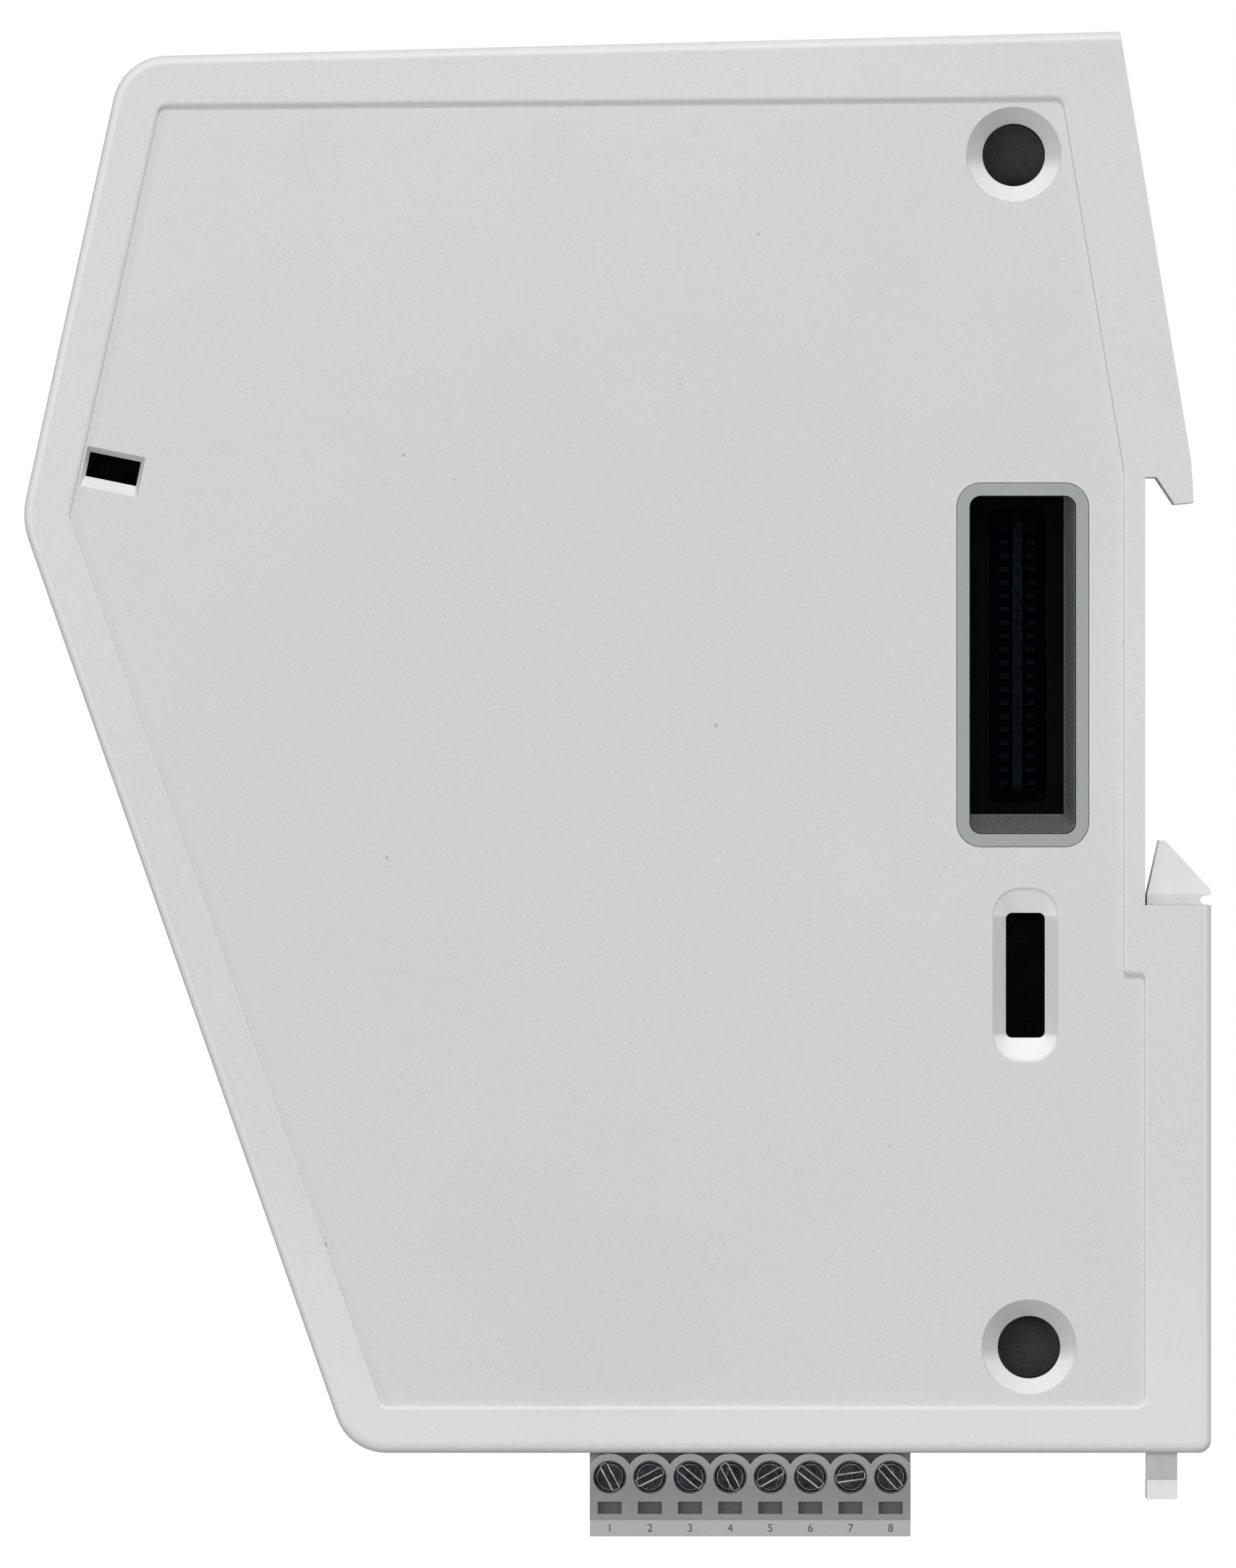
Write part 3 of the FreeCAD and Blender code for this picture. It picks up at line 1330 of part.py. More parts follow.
def make_latch_spring():
    body = new_body("latch_spring")
    section = polygon(new_sketch(body, "XZ", "0", "wire_section"), [
        (f"spring_radius + spring_wire / 2 * cos({turn})", f"spring_wire / 2 * sin({turn})")
        for turn in range(0, 360, 60)
    ])
    coil = body.newObject("PartDesign::AdditiveHelix", "coil")
    coil.Profile = section
    coil.ReferenceAxis = (section, ["V_Axis"])
    coil.Mode = "height-turns-angle"
    bind(coil, Height="spring_length - spring_wire", Turns="spring_turns")
    put(body, (f"{CHANNEL_REACH} / 2", "0", "spring_wire / 2 - rib_drop"))


make_case_shell_near()
make_case_shell_far()
make_bus_window_frame()
make_bus_socket_body()
make_bus_socket_contacts()
make_main_board()
make_board_parts()
make_light_guide()
make_status_lamps()
make_terminal_header()
make_header_pins()
make_terminal_plug_body()
make_terminal_marker_strip()
make_plug_contacts()
slot_turns = [alias for alias in SIZES if alias.startswith("slot_turn_")]
for pole_number in range(1, SIZES["pole_count"] + 1):
    make_clamp(pole_number, slot_turns[(pole_number - 1) % len(slot_turns)])
make_rail_latch()
make_latch_spring()
doc.recompute()

for item in doc.Objects:
    if {"Invalid", "Error"} & set(item.State):
        raise RuntimeError(f"{item.Name} failed: {item.State}")
for part in PARTS:
    if part.Shape.isNull() or not part.Shape.isValid():
        raise RuntimeError(f"{part.Label} has no valid shape")

os.makedirs("parts", exist_ok=True)
for part in PARTS:
    part.Shape.exportStep(f"parts/{part.Label}.step")
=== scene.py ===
import math
from functools import reduce

import bmesh
import bpy
from mathutils import Matrix, Vector


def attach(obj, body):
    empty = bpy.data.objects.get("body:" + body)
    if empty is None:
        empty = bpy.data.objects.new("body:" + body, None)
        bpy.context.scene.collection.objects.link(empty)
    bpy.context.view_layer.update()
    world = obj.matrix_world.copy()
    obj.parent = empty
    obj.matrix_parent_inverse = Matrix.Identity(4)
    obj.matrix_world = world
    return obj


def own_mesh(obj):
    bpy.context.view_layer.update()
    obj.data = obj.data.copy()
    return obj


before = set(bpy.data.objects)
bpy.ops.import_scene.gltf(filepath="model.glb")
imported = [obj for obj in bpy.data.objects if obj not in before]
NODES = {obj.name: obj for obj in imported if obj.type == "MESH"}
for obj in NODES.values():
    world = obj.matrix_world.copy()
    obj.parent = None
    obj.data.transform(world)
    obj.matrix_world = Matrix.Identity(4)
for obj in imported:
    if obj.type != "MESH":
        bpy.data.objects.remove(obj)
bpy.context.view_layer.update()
MM = 0.001
SCREWS = 8


# Places and sizes that the materials follow

def mm(*values):
    """Values given in millimetres, as metres."""
    return tuple(value * MM for value in values)


# The photograph's scale, and the pixel on which the frame's origin lies
PIXELS_PER_MM = 14.57
ORIGIN_PIXEL = (1582.5, 914.0)

# Distances of the rim's and the sunk panel's faces from the mid plane
RIM_LEVEL, PANEL_LEVEL = mm(11.25, 10.65)

# Heights between which a painted highlight makes the rim paler towards the foot
FOOT_HIGHLIGHT_FADE = mm(-50, -72)

# Dark specks on the near panel: pixels across and down in the photograph, radius in millimetres
SPECKS = [
    (558, 628, 0.22), (1048, 323, 0.20), (1555, 886, 0.28), (989, 1002, 0.24),
    (535, 1185, 0.20), (449, 1720, 0.30), (627, 662, 0.14), (1091, 795, 0.14),
    (940, 531, 0.13), (1230, 1583, 0.15), (603, 1089, 0.12), (745, 870, 0.13),
]

# Painted highlights on bevels: both ends of the long slot's and the foot of the leaning slot's, as corners
# of boxes
PAINTED_BEVEL_HIGHLIGHTS = [
    (mm(-14.6, -10.6, -24.0), mm(-8.1, -9.2, -21.3)),
    (mm(-14.6, -10.6, -38.3), mm(-8.1, -9.2, -35.6)),
    (mm(-102.0, -10.6, 14.0), mm(-96.0, -9.2, 18.8)),
]

# Middles of the locating bores, across and up, their radius, and the level where their cone mouths end
BORES = [mm(-12.45, 48.1), mm(-11.0, -65.05)]
BORE_RADIUS, MOUTH_END = mm(3.02, -8.4)

# Painted highlight on the lower side of a bore's mouth: a box's corners, across and up from the bore's
# middle
PAINTED_MOUTH_HIGHLIGHT = (mm(-5.2, -10.6, -5.5), mm(4.4, -7.5, -1.4))

# Parts of the bus socket: the funnel's right and lower slopes, where light is painted as dark grey, and the
# tongue between the rows of contacts
FUNNEL_SIDE = (mm(-7.62, -10.5, -17.0), mm(-6.0, -6.6, 16.5))
FUNNEL_FOOT = (mm(-17.5, -10.5, -17.0), mm(-6.0, -6.6, -14.52))
TONGUE = (mm(-12.45, -10.5, -12.7), mm(-11.70, 0.0, 13.7))

# Painted shade: a box's corners, and the share of the plastic's own tone that is left there
TEST_WINDOWS = (mm(-52.2, -6.5, -80.9), mm(-22.7, -4.0, -79.1), 0.30)
LATCH_NECK = (mm(-1.0, -20.0, -24.0), mm(7.0, -8.5, -22.13), 0.80)

# Painted light and shade on the terminal, which darkens towards its foot: heights where that starts and
# ends, and the share of tone left below
TERMINAL_PAINTED_FALL = (*mm(-75.0, -80.0), 0.50)


def photo_point(across, down):
    """Place on the near panel of a point given in the photograph's pixels."""
    middle, level = ORIGIN_PIXEL
    return mm((across - middle) / PIXELS_PER_MM, -PANEL_LEVEL / MM, (level - down) / PIXELS_PER_MM)


def scaled(colour, share):
    return tuple(min(1.0, channel * share) for channel in colour)


# Materials

class Shader:
    """One material's node tree, with short calls for the nodes it is made of."""

    def __init__(self, name):
        self.material = bpy.data.materials.new(name)
        self.material.use_nodes = True
        self.tree = self.material.node_tree
        self.tree.nodes.clear()
        self.surface = self.add("ShaderNodeBsdfPrincipled")
        output = self.add("ShaderNodeOutputMaterial")
        self.tree.links.new(self.surface.outputs["BSDF"], output.inputs["Surface"])
        self.coordinates = self.add("ShaderNodeTexCoord").outputs["Object"]

    def add(self, kind, **settings):
        node = self.tree.nodes.new(kind)
        for key, value in settings.items():
            setattr(node, key, value)
        return node

    def link(self, source, target):
        """Feed a node's output, or a plain value, into an input."""
        if isinstance(source, (int, float, tuple)):
            target.default_value = source
        else:
            self.tree.links.new(source, target)

    def noise(self, scale, detail=3.0, roughness=0.5, stretch=None, distortion=0.0):
        node = self.add("ShaderNodeTexNoise")
        node.inputs["Scale"].default_value = scale
        node.inputs["Detail"].default_value = detail
        node.inputs["Roughness"].default_value = roughness
        node.inputs["Distortion"].default_value = distortion
        place = self.coordinates
        if stretch:
            mapping = self.add("ShaderNodeMapping")
            mapping.inputs["Scale"].default_value = stretch
            self.link(place, mapping.inputs["Vector"])
            place = mapping.outputs["Vector"]
        self.link(place, node.inputs["Vector"])
        return node.outputs["Fac"]

    def tones(self, value, dark, pale):
        """A colour that goes from one tone to another around the middle of a value from 0 to 1."""
        node = self.add("ShaderNodeValToRGB")
        for element, place, colour in zip(node.color_ramp.elements, (0.3, 0.7), (dark, pale)):
            element.position = place
            element.color = (*colour, 1.0)
        self.link(value, node.inputs["Fac"])
        return node.outputs["Color"]

    def math(self, operation, first, second=0.0):
        node = self.add("ShaderNodeMath", operation=operation)
        self.link(first, node.inputs[0])
        self.link(second, node.inputs[1])
        return node.outputs[0]

    def times(self, first, second):
        return self.math("MULTIPLY", first, second)

    def remap(self, value, low, high, start, end):
        node = self.add("ShaderNodeMapRange")
        for name, item in zip(("From Min", "From Max", "To Min", "To Max"), (low, high, start, end)):
            node.inputs[name].default_value = item
        self.link(value, node.inputs["Value"])
        return node.outputs["Result"]

    def mix(self, share, first, second):
        node = self.add("ShaderNodeMix", data_type="RGBA")
        self.link(share, node.inputs[0])
        for item, target in ((first, node.inputs[6]), (second, node.inputs[7])):
            self.link((*item, 1.0) if isinstance(item, tuple) else item, target)
        return node.outputs[2]

    def axis(self, letter):
        node = self.add("ShaderNodeSeparateXYZ")
        self.link(self.coordinates, node.inputs[0])
        return node.outputs[letter]

    def distance(self, place, centre):
        node = self.add("ShaderNodeVectorMath", operation="DISTANCE")
        self.link(place, node.inputs[0])
        node.inputs[1].default_value = centre
        return node.outputs["Value"]

    def spot(self, centre, radius):
        """1 inside a small ball around a point, 0 outside."""
        return self.remap(self.distance(self.coordinates, centre), 0.5 * radius, radius, 1.0, 0.0)

    def well(self, across, up, radius, level):
        """1 inside a round hole along Y, behind the given level, 0 elsewhere."""
        flat = self.add("ShaderNodeCombineXYZ")
        for letter in "XZ":
            self.link(self.axis(letter), flat.inputs[letter])
        from_middle = self.distance(flat.outputs[0], (across, 0.0, up))
        inside = self.remap(from_middle, radius, radius + 0.1 * MM, 1.0, 0.0)
        return self.times(inside, self.remap(self.axis("Y"), level - 0.1 * MM, level + 1.2 * MM, 0.0, 1.0))

    def box(self, low, high, soft=0.1 * MM):
        """1 inside a box, 0 outside, soft at its sides."""
        shares = []
        for letter, start, end in zip("XYZ", low, high):
            place = self.axis(letter)
            shares.append(self.remap(place, start - soft, start, 0.0, 1.0))
            shares.append(self.remap(place, end, end + soft, 1.0, 0.0))
        return reduce(self.times, shares)

    def soft_edges(self, radius):
        node = self.add("ShaderNodeBevel", samples=6)
        node.inputs["Radius"].default_value = radius
        return node.outputs[0]

    def edge_mask(self, radius):
        """1 along edges, 0 on open faces."""
        geometry = self.add("ShaderNodeNewGeometry")
        dot = self.add("ShaderNodeVectorMath", operation="DOT_PRODUCT")
        self.link(self.soft_edges(radius), dot.inputs[0])
        self.link(geometry.outputs["Normal"], dot.inputs[1])
        return self.remap(dot.outputs["Value"], 0.999, 0.80, 0.0, 1.0)

    def bump(self, height, distance, edge=None):
        """Bumps of the given height, over edges rounded by the given radius."""
        node = self.add("ShaderNodeBump")
        node.inputs["Distance"].default_value = distance
        self.link(height, node.inputs["Height"])
        if edge:
            self.link(self.soft_edges(edge), node.inputs["Normal"])
        return node.outputs["Normal"]

    def finish(self, colour, roughness, normal, metallic=0.0, specular=0.5):
        self.link(colour, self.surface.inputs["Base Color"])
        self.link(roughness, self.surface.inputs["Roughness"])
        self.link(normal, self.surface.inputs["Normal"])
        self.surface.inputs["Metallic"].default_value = metallic
        self.surface.inputs["Specular IOR Level"].default_value = specular
        return self.material


def moulded_plastic(
    name, colour, roughness, grain=0.012 * MM, edge=0.18 * MM, tint=0.02, shade=None, painted_fall=None,
):
    """Moulded plastic: fine spark-eroded grain, faint flow clouds, lighter edges that are painted highlight
    and wear; where given, painted shade in a box and painted light and shade falling towards the foot.
    """
    shader = Shader(name)
    deep = scaled(colour, 1 - tint)
    base = shader.tones(shader.noise(38.0, 2.0), deep, scaled(colour, 1 + tint))
    fine = shader.noise(5200.0, 2.0, 0.6)
    base = shader.mix(shader.remap(fine, 0.35, 0.65, 0.0, 0.10), base, deep)
    # Painted highlight and wear: lighter patches along edges
    patches = shader.remap(shader.noise(900.0), 0.4, 0.65, 0.15, 0.6)
    edge_wear_and_highlight = shader.times(shader.edge_mask(0.28 * MM), patches)
    base = shader.mix(edge_wear_and_highlight, base, tuple(min(1.0, channel * 1.08 + 0.01) for channel in colour))
    # Painted light and shade: lighter at the top, darker towards the foot
    if painted_fall:
        start, end, tone = painted_fall
        lower = shader.remap(shader.axis("Z"), start, end, 0.0, 1.0)
        base = shader.mix(lower, base, scaled(colour, tone))
    # Painted shade inside a box
    if shade:
        low, high, tone = shade
        painted_shade = shader.times(shader.box(low, high), shader.remap(fine, 0.3, 0.7, 0.9, 0.6))
        base = shader.mix(painted_shade, base, scaled(colour, tone))
    rough = shader.remap(shader.noise(160.0), 0.3, 0.7, roughness - 0.06, roughness + 0.06)
    return shader.finish(base, rough, shader.bump(fine, grain, edge), specular=0.4)


def housing_plastic(name, near=False):
    """The housing: a sunk panel a shade darker than the rim, painted highlight and wear along edges, and
    painted highlights on the panel's step and on the rim towards the foot. The near half has specks, and
    painted highlights and shade at bores and bevels.
    """
    shader = Shader(name)
    depth = shader.math("ABSOLUTE", shader.axis("Y"))
    on_panel = shader.remap(depth, PANEL_LEVEL + 0.2 * MM, RIM_LEVEL - 0.1 * MM, 1.0, 0.0)
    cloud = shader.noise(22.0, 2.0, 0.45)
    rim_tone = shader.tones(cloud, (0.748, 0.750, 0.748), (0.785, 0.787, 0.785))
    panel_tone = shader.tones(cloud, (0.725, 0.727, 0.725), (0.755, 0.757, 0.755))
    base = shader.mix(on_panel, rim_tone, panel_tone)
    fine = shader.noise(4300.0, 3.0, 0.62)
    base = shader.mix(shader.remap(fine, 0.40, 0.70, 0.0, 0.30), base, (0.62, 0.622, 0.62))
    # Painted highlight and wear along edges
    patches = shader.remap(shader.noise(700.0), 0.40, 0.62, 0.10, 0.7)
    edge_wear_and_highlight = shader.times(shader.edge_mask(0.2 * MM), patches)
    base = shader.mix(edge_wear_and_highlight, base, (0.86, 0.862, 0.86))
    # Painted highlight: the rim paler towards the foot
    on_rim = shader.math("SUBTRACT", 1.0, on_panel)
    painted_foot_highlight = shader.times(shader.remap(shader.axis("Z"), *FOOT_HIGHLIGHT_FADE, 0.0, 0.65), on_rim)
    base = shader.mix(painted_foot_highlight, base, (0.87, 0.872, 0.87))
    # Painted highlight on the step between the panel and the rim
    over_panel = shader.remap(depth, PANEL_LEVEL + 0.04 * MM, PANEL_LEVEL + 0.10 * MM, 0.0, 0.6)
    under_rim = shader.remap(depth, RIM_LEVEL - 0.07 * MM, RIM_LEVEL - 0.02 * MM, 1.0, 0.0)
    base = shader.mix(shader.times(over_panel, under_rim), base, (0.96, 0.962, 0.96))
    if near:
        base = near_side_marks(shader, base, depth, fine)
    rough = shader.remap(shader.noise(120.0), 0.3, 0.7, 0.48, 0.60)
    coarse = shader.noise(1500.0, 2.0)
    grain = shader.math("ADD", fine, shader.times(coarse, 0.7))
    return shader.finish(base, rough, shader.bump(grain, 0.026 * MM, 0.07 * MM), specular=0.35)


def near_side_marks(shader, base, depth, fine):
    """The near half's marks: dark specks, painted highlights on bevels and on the bores' lower mouths, and
    painted shade on the bores' walls.
    """
    for across, down, radius in SPECKS:
        speck = shader.times(shader.spot(photo_point(across, down), radius * MM), 0.55)
        base = shader.mix(speck, base, (0.36, 0.36, 0.36))
    sunk = shader.remap(depth, PANEL_LEVEL - 0.25 * MM, PANEL_LEVEL - 0.05 * MM, 1.0, 0.0)
    # Painted highlights on the slots' bevels
    for low, high in PAINTED_BEVEL_HIGHLIGHTS:
        base = shader.mix(shader.times(shader.box(low, high, 0.3 * MM), sunk), base, (0.97, 0.972, 0.97))
    # Painted shade on the bores' walls
    painted_bore_shade = shader.tones(fine, (0.075, 0.078, 0.086), (0.125, 0.128, 0.136))
    for across, up in BORES:
        low, high = ((across + x, y, up + z) for x, y, z in PAINTED_MOUTH_HIGHLIGHT)
        # Painted highlight on the lower side of the bore's mouth
        base = shader.mix(shader.times(shader.box(low, high, 1.2 * MM), sunk), base, (0.985, 0.985, 0.985))
        base = shader.mix(shader.well(across, up, BORE_RADIUS, MOUTH_END), base, painted_bore_shade)
    return base


def socket_black(name):
    """The socket: black, with painted light turning the funnel's two slopes dark grey, and a bluish tongue.
    """
    shader = Shader(name)
    fine = shader.noise(4200.0, 2.0, 0.6)
    base = shader.tones(shader.noise(60.0), (0.0010, 0.0010, 0.0012), (0.0022, 0.0022, 0.0024))
    # Painted light on the funnel's right and lower slopes
    side = shader.times(shader.box(*FUNNEL_SIDE), 0.95)
    painted_slope_light = shader.math("MAXIMUM", side, shader.box(*FUNNEL_FOOT))
    base = shader.mix(painted_slope_light, base, shader.tones(fine, (0.10, 0.104, 0.106), (0.17, 0.175, 0.176)))
    dots = shader.remap(shader.noise(1500.0, 2.0), 0.42, 0.60, 0.25, 1.0)
    base = shader.mix(shader.times(shader.box(*TONGUE, 0.2 * MM), dots), base, (0.0042, 0.0068, 0.0092))
    rough = shader.remap(fine, 0.3, 0.7, 0.55, 0.68)
    return shader.finish(base, rough, shader.bump(fine, 0.010 * MM, 0.08 * MM), specular=0.02)


def metal(name, colour, roughness):
    """Plated metal: fine tool marks in one direction, patches of tarnish, brighter edges."""
    shader = Shader(name)
    marks = shader.noise(2600.0, 4.0, 0.65, stretch=(1.0, 1.0, 9.0))
    tarnish = shader.remap(shader.noise(700.0, 3.0, 0.6), 0.42, 0.68, 0.0, 0.35)
    base = shader.mix(tarnish, colour, scaled(colour, 0.45))
    base = shader.mix(shader.times(shader.edge_mask(0.10 * MM), 0.6), base, scaled(colour, 1.25))
    rough = shader.remap(marks, 0.3, 0.7, roughness - 0.10, roughness + 0.14)
    return shader.finish(base, rough, shader.bump(marks, 0.008 * MM, 0.06 * MM), metallic=1.0)


def screw_head_metal(name):
    """A used screw: dark faces with fine scratches, bright edges along the slot and the rim that are painted
    highlight and wear.
    """
    shader = Shader(name)
    scratches = shader.noise(3000.0, 4.0, 0.7, stretch=(1.0, 1.0, 0.25), distortion=0.6)
    base = shader.tones(shader.noise(1500.0, 3.0, 0.6), (0.006, 0.0065, 0.007), (0.022, 0.023, 0.025))
    base = shader.mix(shader.remap(scratches, 0.56, 0.66, 0.0, 0.55), base, (0.12, 0.125, 0.125))
    # Painted highlight and wear along the slot's and the rim's edges
    patches = shader.remap(shader.noise(1100.0), 0.34, 0.58, 0.45, 1.0)
    worn_and_highlit_edges = shader.times(shader.edge_mask(0.15 * MM), patches)
    base = shader.mix(worn_and_highlit_edges, base, (0.84, 0.85, 0.845))
    rough = shader.remap(scratches, 0.3, 0.7, 0.28, 0.48)
    return shader.finish(base, rough, shader.bump(scratches, 0.010 * MM, 0.04 * MM), metallic=1.0)


def laminate(name):
    """Lacquered circuit board: black mask over faint tracks."""
    shader = Shader(name)
    turned = shader.add("ShaderNodeMapping")
    turned.inputs["Rotation"].default_value = (math.pi / 2, 0.0, 0.0)
    shader.link(shader.coordinates, turned.inputs["Vector"])
    bricks = shader.add("ShaderNodeTexBrick")
    bricks.inputs["Scale"].default_value = 160.0
    bricks.inputs["Mortar Size"].default_value = 0.03
    shader.link(turned.outputs["Vector"], bricks.inputs["Vector"])
    tracks = bricks.outputs["Fac"]
    base = shader.mix(tracks, (0.004, 0.005, 0.0045), (0.009, 0.011, 0.010))
    base = shader.mix(shader.remap(shader.noise(400.0), 0.4, 0.6, 0.0, 0.25), base, (0.003, 0.0035, 0.0035))
    rough = shader.remap(shader.noise(300.0), 0.3, 0.7, 0.42, 0.56)
    return shader.finish(base, rough, shader.bump(tracks, 0.02 * MM, 0.1 * MM), specular=0.04)


def clear_plastic(name):
    """Clear moulded plastic with a faint haze."""
    shader = Shader(name)
    shader.surface.inputs["Transmission Weight"].default_value = 0.75
    base = shader.tones(shader.noise(60.0), (0.90, 0.92, 0.92), (0.96, 0.97, 0.97))
    rough = shader.remap(shader.noise(900.0), 0.3, 0.7, 0.12, 0.25)
    return shader.finish(base, rough, shader.bump(shader.noise(2500.0), 0.006 * MM, 0.1 * MM))


frame_plastic = moulded_plastic("window_frame_plastic", (0.375, 0.395, 0.383), 0.5, edge=0.1 * MM)
terminal_plastic = moulded_plastic(
    "terminal_grey", (0.56, 0.578, 0.572), 0.5,
    edge=0.05 * MM, tint=0.05, shade=TEST_WINDOWS, painted_fall=TERMINAL_PAINTED_FALL,
)
strip_plastic = moulded_plastic("marker_strip_grey", (0.465, 0.475, 0.470), 0.45, edge=0.05 * MM)
latch_plastic = moulded_plastic(
    "latch_pale_plastic", (0.84, 0.85, 0.845), 0.42, edge=0.04 * MM, shade=LATCH_NECK,
)
package_plastic = moulded_plastic("package_black", (0.02, 0.02, 0.022), 0.5, tint=0.15)
# Painted shade: the contacts are coloured nearly black
shaded_contact_metal = metal("contact_painted_dark", (0.0022, 0.0034, 0.0048), 0.6)
screw_metal = screw_head_metal("worn_screw")
cage_metal = metal("plated_cage", (0.60, 0.59, 0.57), 0.36)

FINISH = {
    "case_shell_near": housing_plastic("near_housing_plastic", near=True),
    "case_shell_far": housing_plastic("far_housing_plastic"),
    "bus_window_frame": frame_plastic,
    "bus_socket_body": socket_black("socket_black"),
    "bus_socket_contacts": shaded_contact_metal,
    "main_board": laminate("black_board"),
    "controller_chip": package_plastic,
    "supply_converter": package_plastic,
    "storage_capacitors": metal("drawn_can", (0.72, 0.73, 0.74), 0.30),
    "signal_isolators": package_plastic,
    "light_guide": clear_plastic("clear_guide"),
    "status_lamps": moulded_plastic("lamp_pale", (0.80, 0.76, 0.55), 0.35),
    "terminal_header": terminal_plastic,
    "header_pins": shaded_contact_metal,
    "terminal_plug_body": terminal_plastic,
    "terminal_marker_strip": strip_plastic,
    "plug_contacts": shaded_contact_metal,
    "rail_latch": latch_plastic,
    "latch_spring": metal("spring_wire", (0.42, 0.42, 0.43), 0.30),
}
for number in range(1, SCREWS + 1):
    FINISH[f"clamp_screw_{number}"] = screw_metal
    FINISH[f"clamp_cage_{number}"] = cage_metal
for name, node in NODES.items():
    node.data.materials.clear()
    node.data.materials.append(FINISH[name])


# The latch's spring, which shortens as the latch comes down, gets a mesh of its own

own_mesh(NODES["latch_spring"])


# Digits printed on the plug's strip

DIGIT_HEIGHT = 0.75 * MM
FONT_CAP_SHARE = 0.7
PRINT_THICKNESS = 0.008 * MM


def digit_mesh(digit):
    """A printed digit that faces the near side, its centre at the origin."""
    text = bpy.data.curves.new(f"digit_{digit}", "FONT")
    text.body = str(digit)
    text.align_x, text.align_y = "CENTER", "CENTER"
    text.size = DIGIT_HEIGHT / FONT_CAP_SHARE
    text.extrude = PRINT_THICKNESS
    shape = bpy.data.objects.new("digit_shape", text)
    bpy.context.scene.collection.objects.link(shape)
    bpy.context.view_layer.update()
    mesh = bpy.data.meshes.new_from_object(shape.evaluated_get(bpy.context.evaluated_depsgraph_get()))
    mesh.transform(Matrix.Rotation(math.pi / 2, 4, "X"))
    bpy.data.objects.remove(shape)
    return mesh


def middle_of(values):
    return (min(values) + max(values)) / 2


print_ink = moulded_plastic("print_ink", (0.055, 0.058, 0.058), 0.6, grain=0.004 * MM, edge=0.01 * MM)
strip = [vertex.co for vertex in NODES["terminal_marker_strip"].data.vertices]
strip_face = min(point.y for point in strip)
strip_height = middle_of([point.z for point in strip])
for number in range(1, SCREWS + 1):
    pole = middle_of([vertex.co.x for vertex in NODES[f"clamp_screw_{number}"].data.vertices])
    mesh = digit_mesh(number)
    mesh.transform(Matrix.Translation((pole, strip_face, strip_height)))
    mesh.materials.append(print_ink)
    piece = bpy.data.objects.new(f"printed_digit_{number}", mesh)
    bpy.context.scene.collection.objects.link(piece)
    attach(piece, "plug")


# Studio: lights, background, floor and camera

LIT_POINT = (-0.05, 0.0, -0.01)
WORLD_STRENGTH = 0.26
FLOOR_RADIUS = 1.6
FLOOR_GLOW = 0.78
FLOOR_PLACE = (-0.05, 0.0, -0.0958)
CAMERA_PLACE = (-0.05, -5.01125, -0.0116)
CAMERA_LENS = 1210.2


def soft_light(name, place, size, power):
    data = bpy.data.lights.new(name, "AREA")
    data.shape = "RECTANGLE"
    data.size, data.size_y = size
    data.energy = power
    lamp = bpy.data.objects.new(name, data)
    lamp.location = place
    lamp.rotation_euler = (Vector(LIT_POINT) - Vector(place)).to_track_quat("-Z", "Y").to_euler()
    lamp.visible_camera = False
    bpy.context.scene.collection.objects.link(lamp)


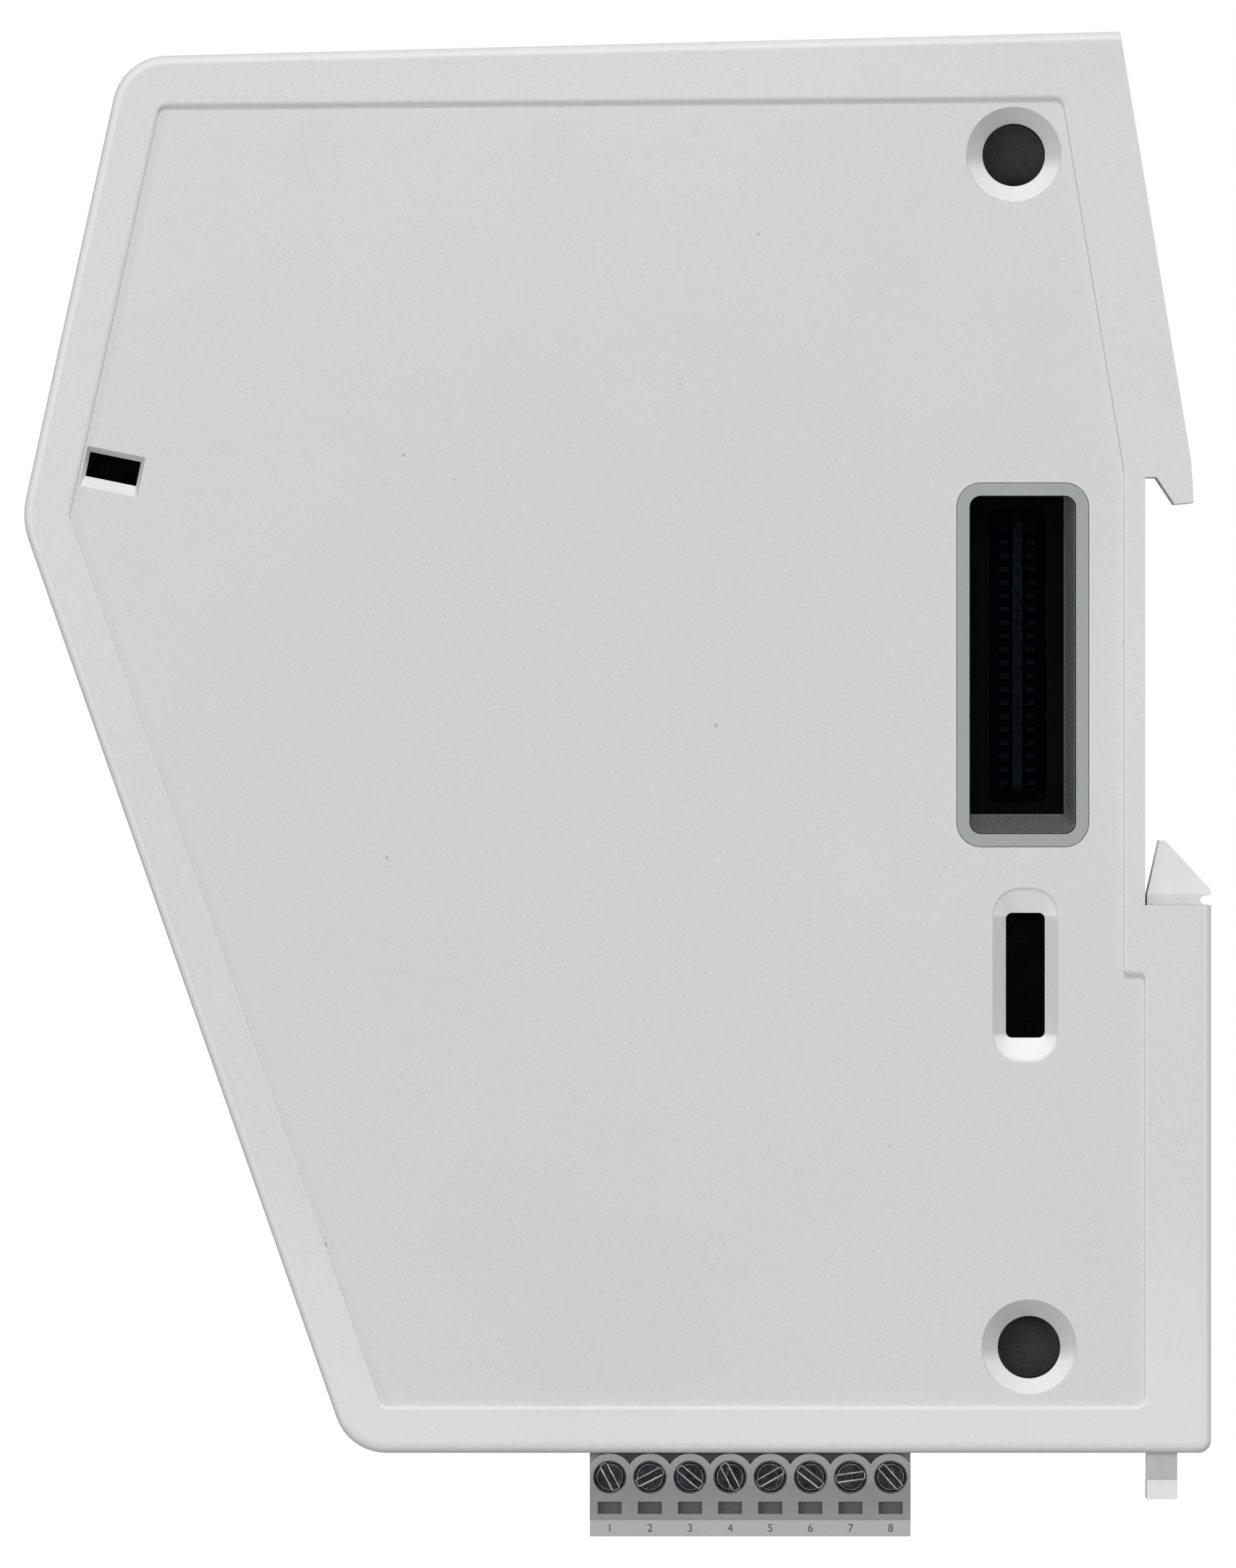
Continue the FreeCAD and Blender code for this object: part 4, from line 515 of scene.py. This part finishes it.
def studio_world():
    """Soft light from all round; plain white to the camera, in reflections and through clear plastic."""
    world = bpy.data.worlds.new("studio")
    bpy.context.scene.world = world
    world.use_nodes = True
    tree = world.node_tree
    background = tree.nodes["Background"]
    background.inputs["Color"].default_value = (0.98, 0.99, 1.0, 1.0)
    background.inputs["Strength"].default_value = WORLD_STRENGTH
    seen = tree.nodes.new("ShaderNodeBackground")
    seen.inputs["Color"].default_value = (1.0, 1.0, 1.0, 1.0)
    rays = tree.nodes.new("ShaderNodeLightPath")
    plain = rays.outputs["Is Camera Ray"]
    for kind in ("Is Glossy Ray", "Is Transmission Ray"):
        either = tree.nodes.new("ShaderNodeMath")
        either.operation = "MAXIMUM"
        tree.links.new(plain, either.inputs[0])
        tree.links.new(rays.outputs[kind], either.inputs[1])
        plain = either.outputs[0]
    chosen = tree.nodes.new("ShaderNodeMixShader")
    tree.links.new(plain, chosen.inputs[0])
    tree.links.new(background.outputs[0], chosen.inputs[1])
    tree.links.new(seen.outputs[0], chosen.inputs[2])
    tree.links.new(chosen.outputs[0], tree.nodes["World Output"].inputs["Surface"])


def floor_paint():
    """Matt pale paint, with a glow that only the camera sees."""
    shader = Shader("pale_floor")
    shader.surface.inputs["Emission Color"].default_value = (1.0, 1.0, 1.0, 1.0)
    rays = shader.add("ShaderNodeLightPath")
    glow = shader.remap(rays.outputs["Is Camera Ray"], 0.0, 1.0, 0.0, FLOOR_GLOW)
    shader.link(glow, shader.surface.inputs["Emission Strength"])
    tone = shader.tones(shader.noise(9.0), (0.44, 0.44, 0.44), (0.48, 0.48, 0.48))
    grain = shader.bump(shader.noise(300.0), 0.05 * MM)
    return shader.finish(tone, 0.8, grain, specular=0.1)


def floor_disc():
    work = bmesh.new()
    bmesh.ops.create_circle(work, cap_ends=True, segments=96, radius=FLOOR_RADIUS)
    mesh = bpy.data.meshes.new("floor")
    work.to_mesh(mesh)
    work.free()
    return mesh


soft_light("key_light", (0.25, -1.75, 1.80), (0.80, 0.60), 26.0)
soft_light("side_light", (-1.60, -0.85, -0.02), (0.25, 0.12), 3.2)
soft_light("front_light", (-0.30, -1.40, -0.01), (1.4, 0.12), 4.8)
soft_light("back_light", (0.45, 1.10, 0.80), (1.0, 1.0), 10.0)
studio_world()

floor = bpy.data.objects.new("floor", floor_disc())
floor.data.materials.append(floor_paint())
floor.location = FLOOR_PLACE
bpy.context.scene.collection.objects.link(floor)

camera_data = bpy.data.cameras.new("camera")
camera_data.lens = CAMERA_LENS
camera_data.clip_start = 0.1
camera = bpy.data.objects.new("camera", camera_data)
camera.location = CAMERA_PLACE
camera.rotation_euler = (math.pi / 2, 0.0, 0.0)
bpy.context.scene.collection.objects.link(camera)
bpy.context.scene.camera = camera
bpy.context.scene.view_settings.view_transform = "Standard"
bpy.context.scene.view_settings.look = "None"
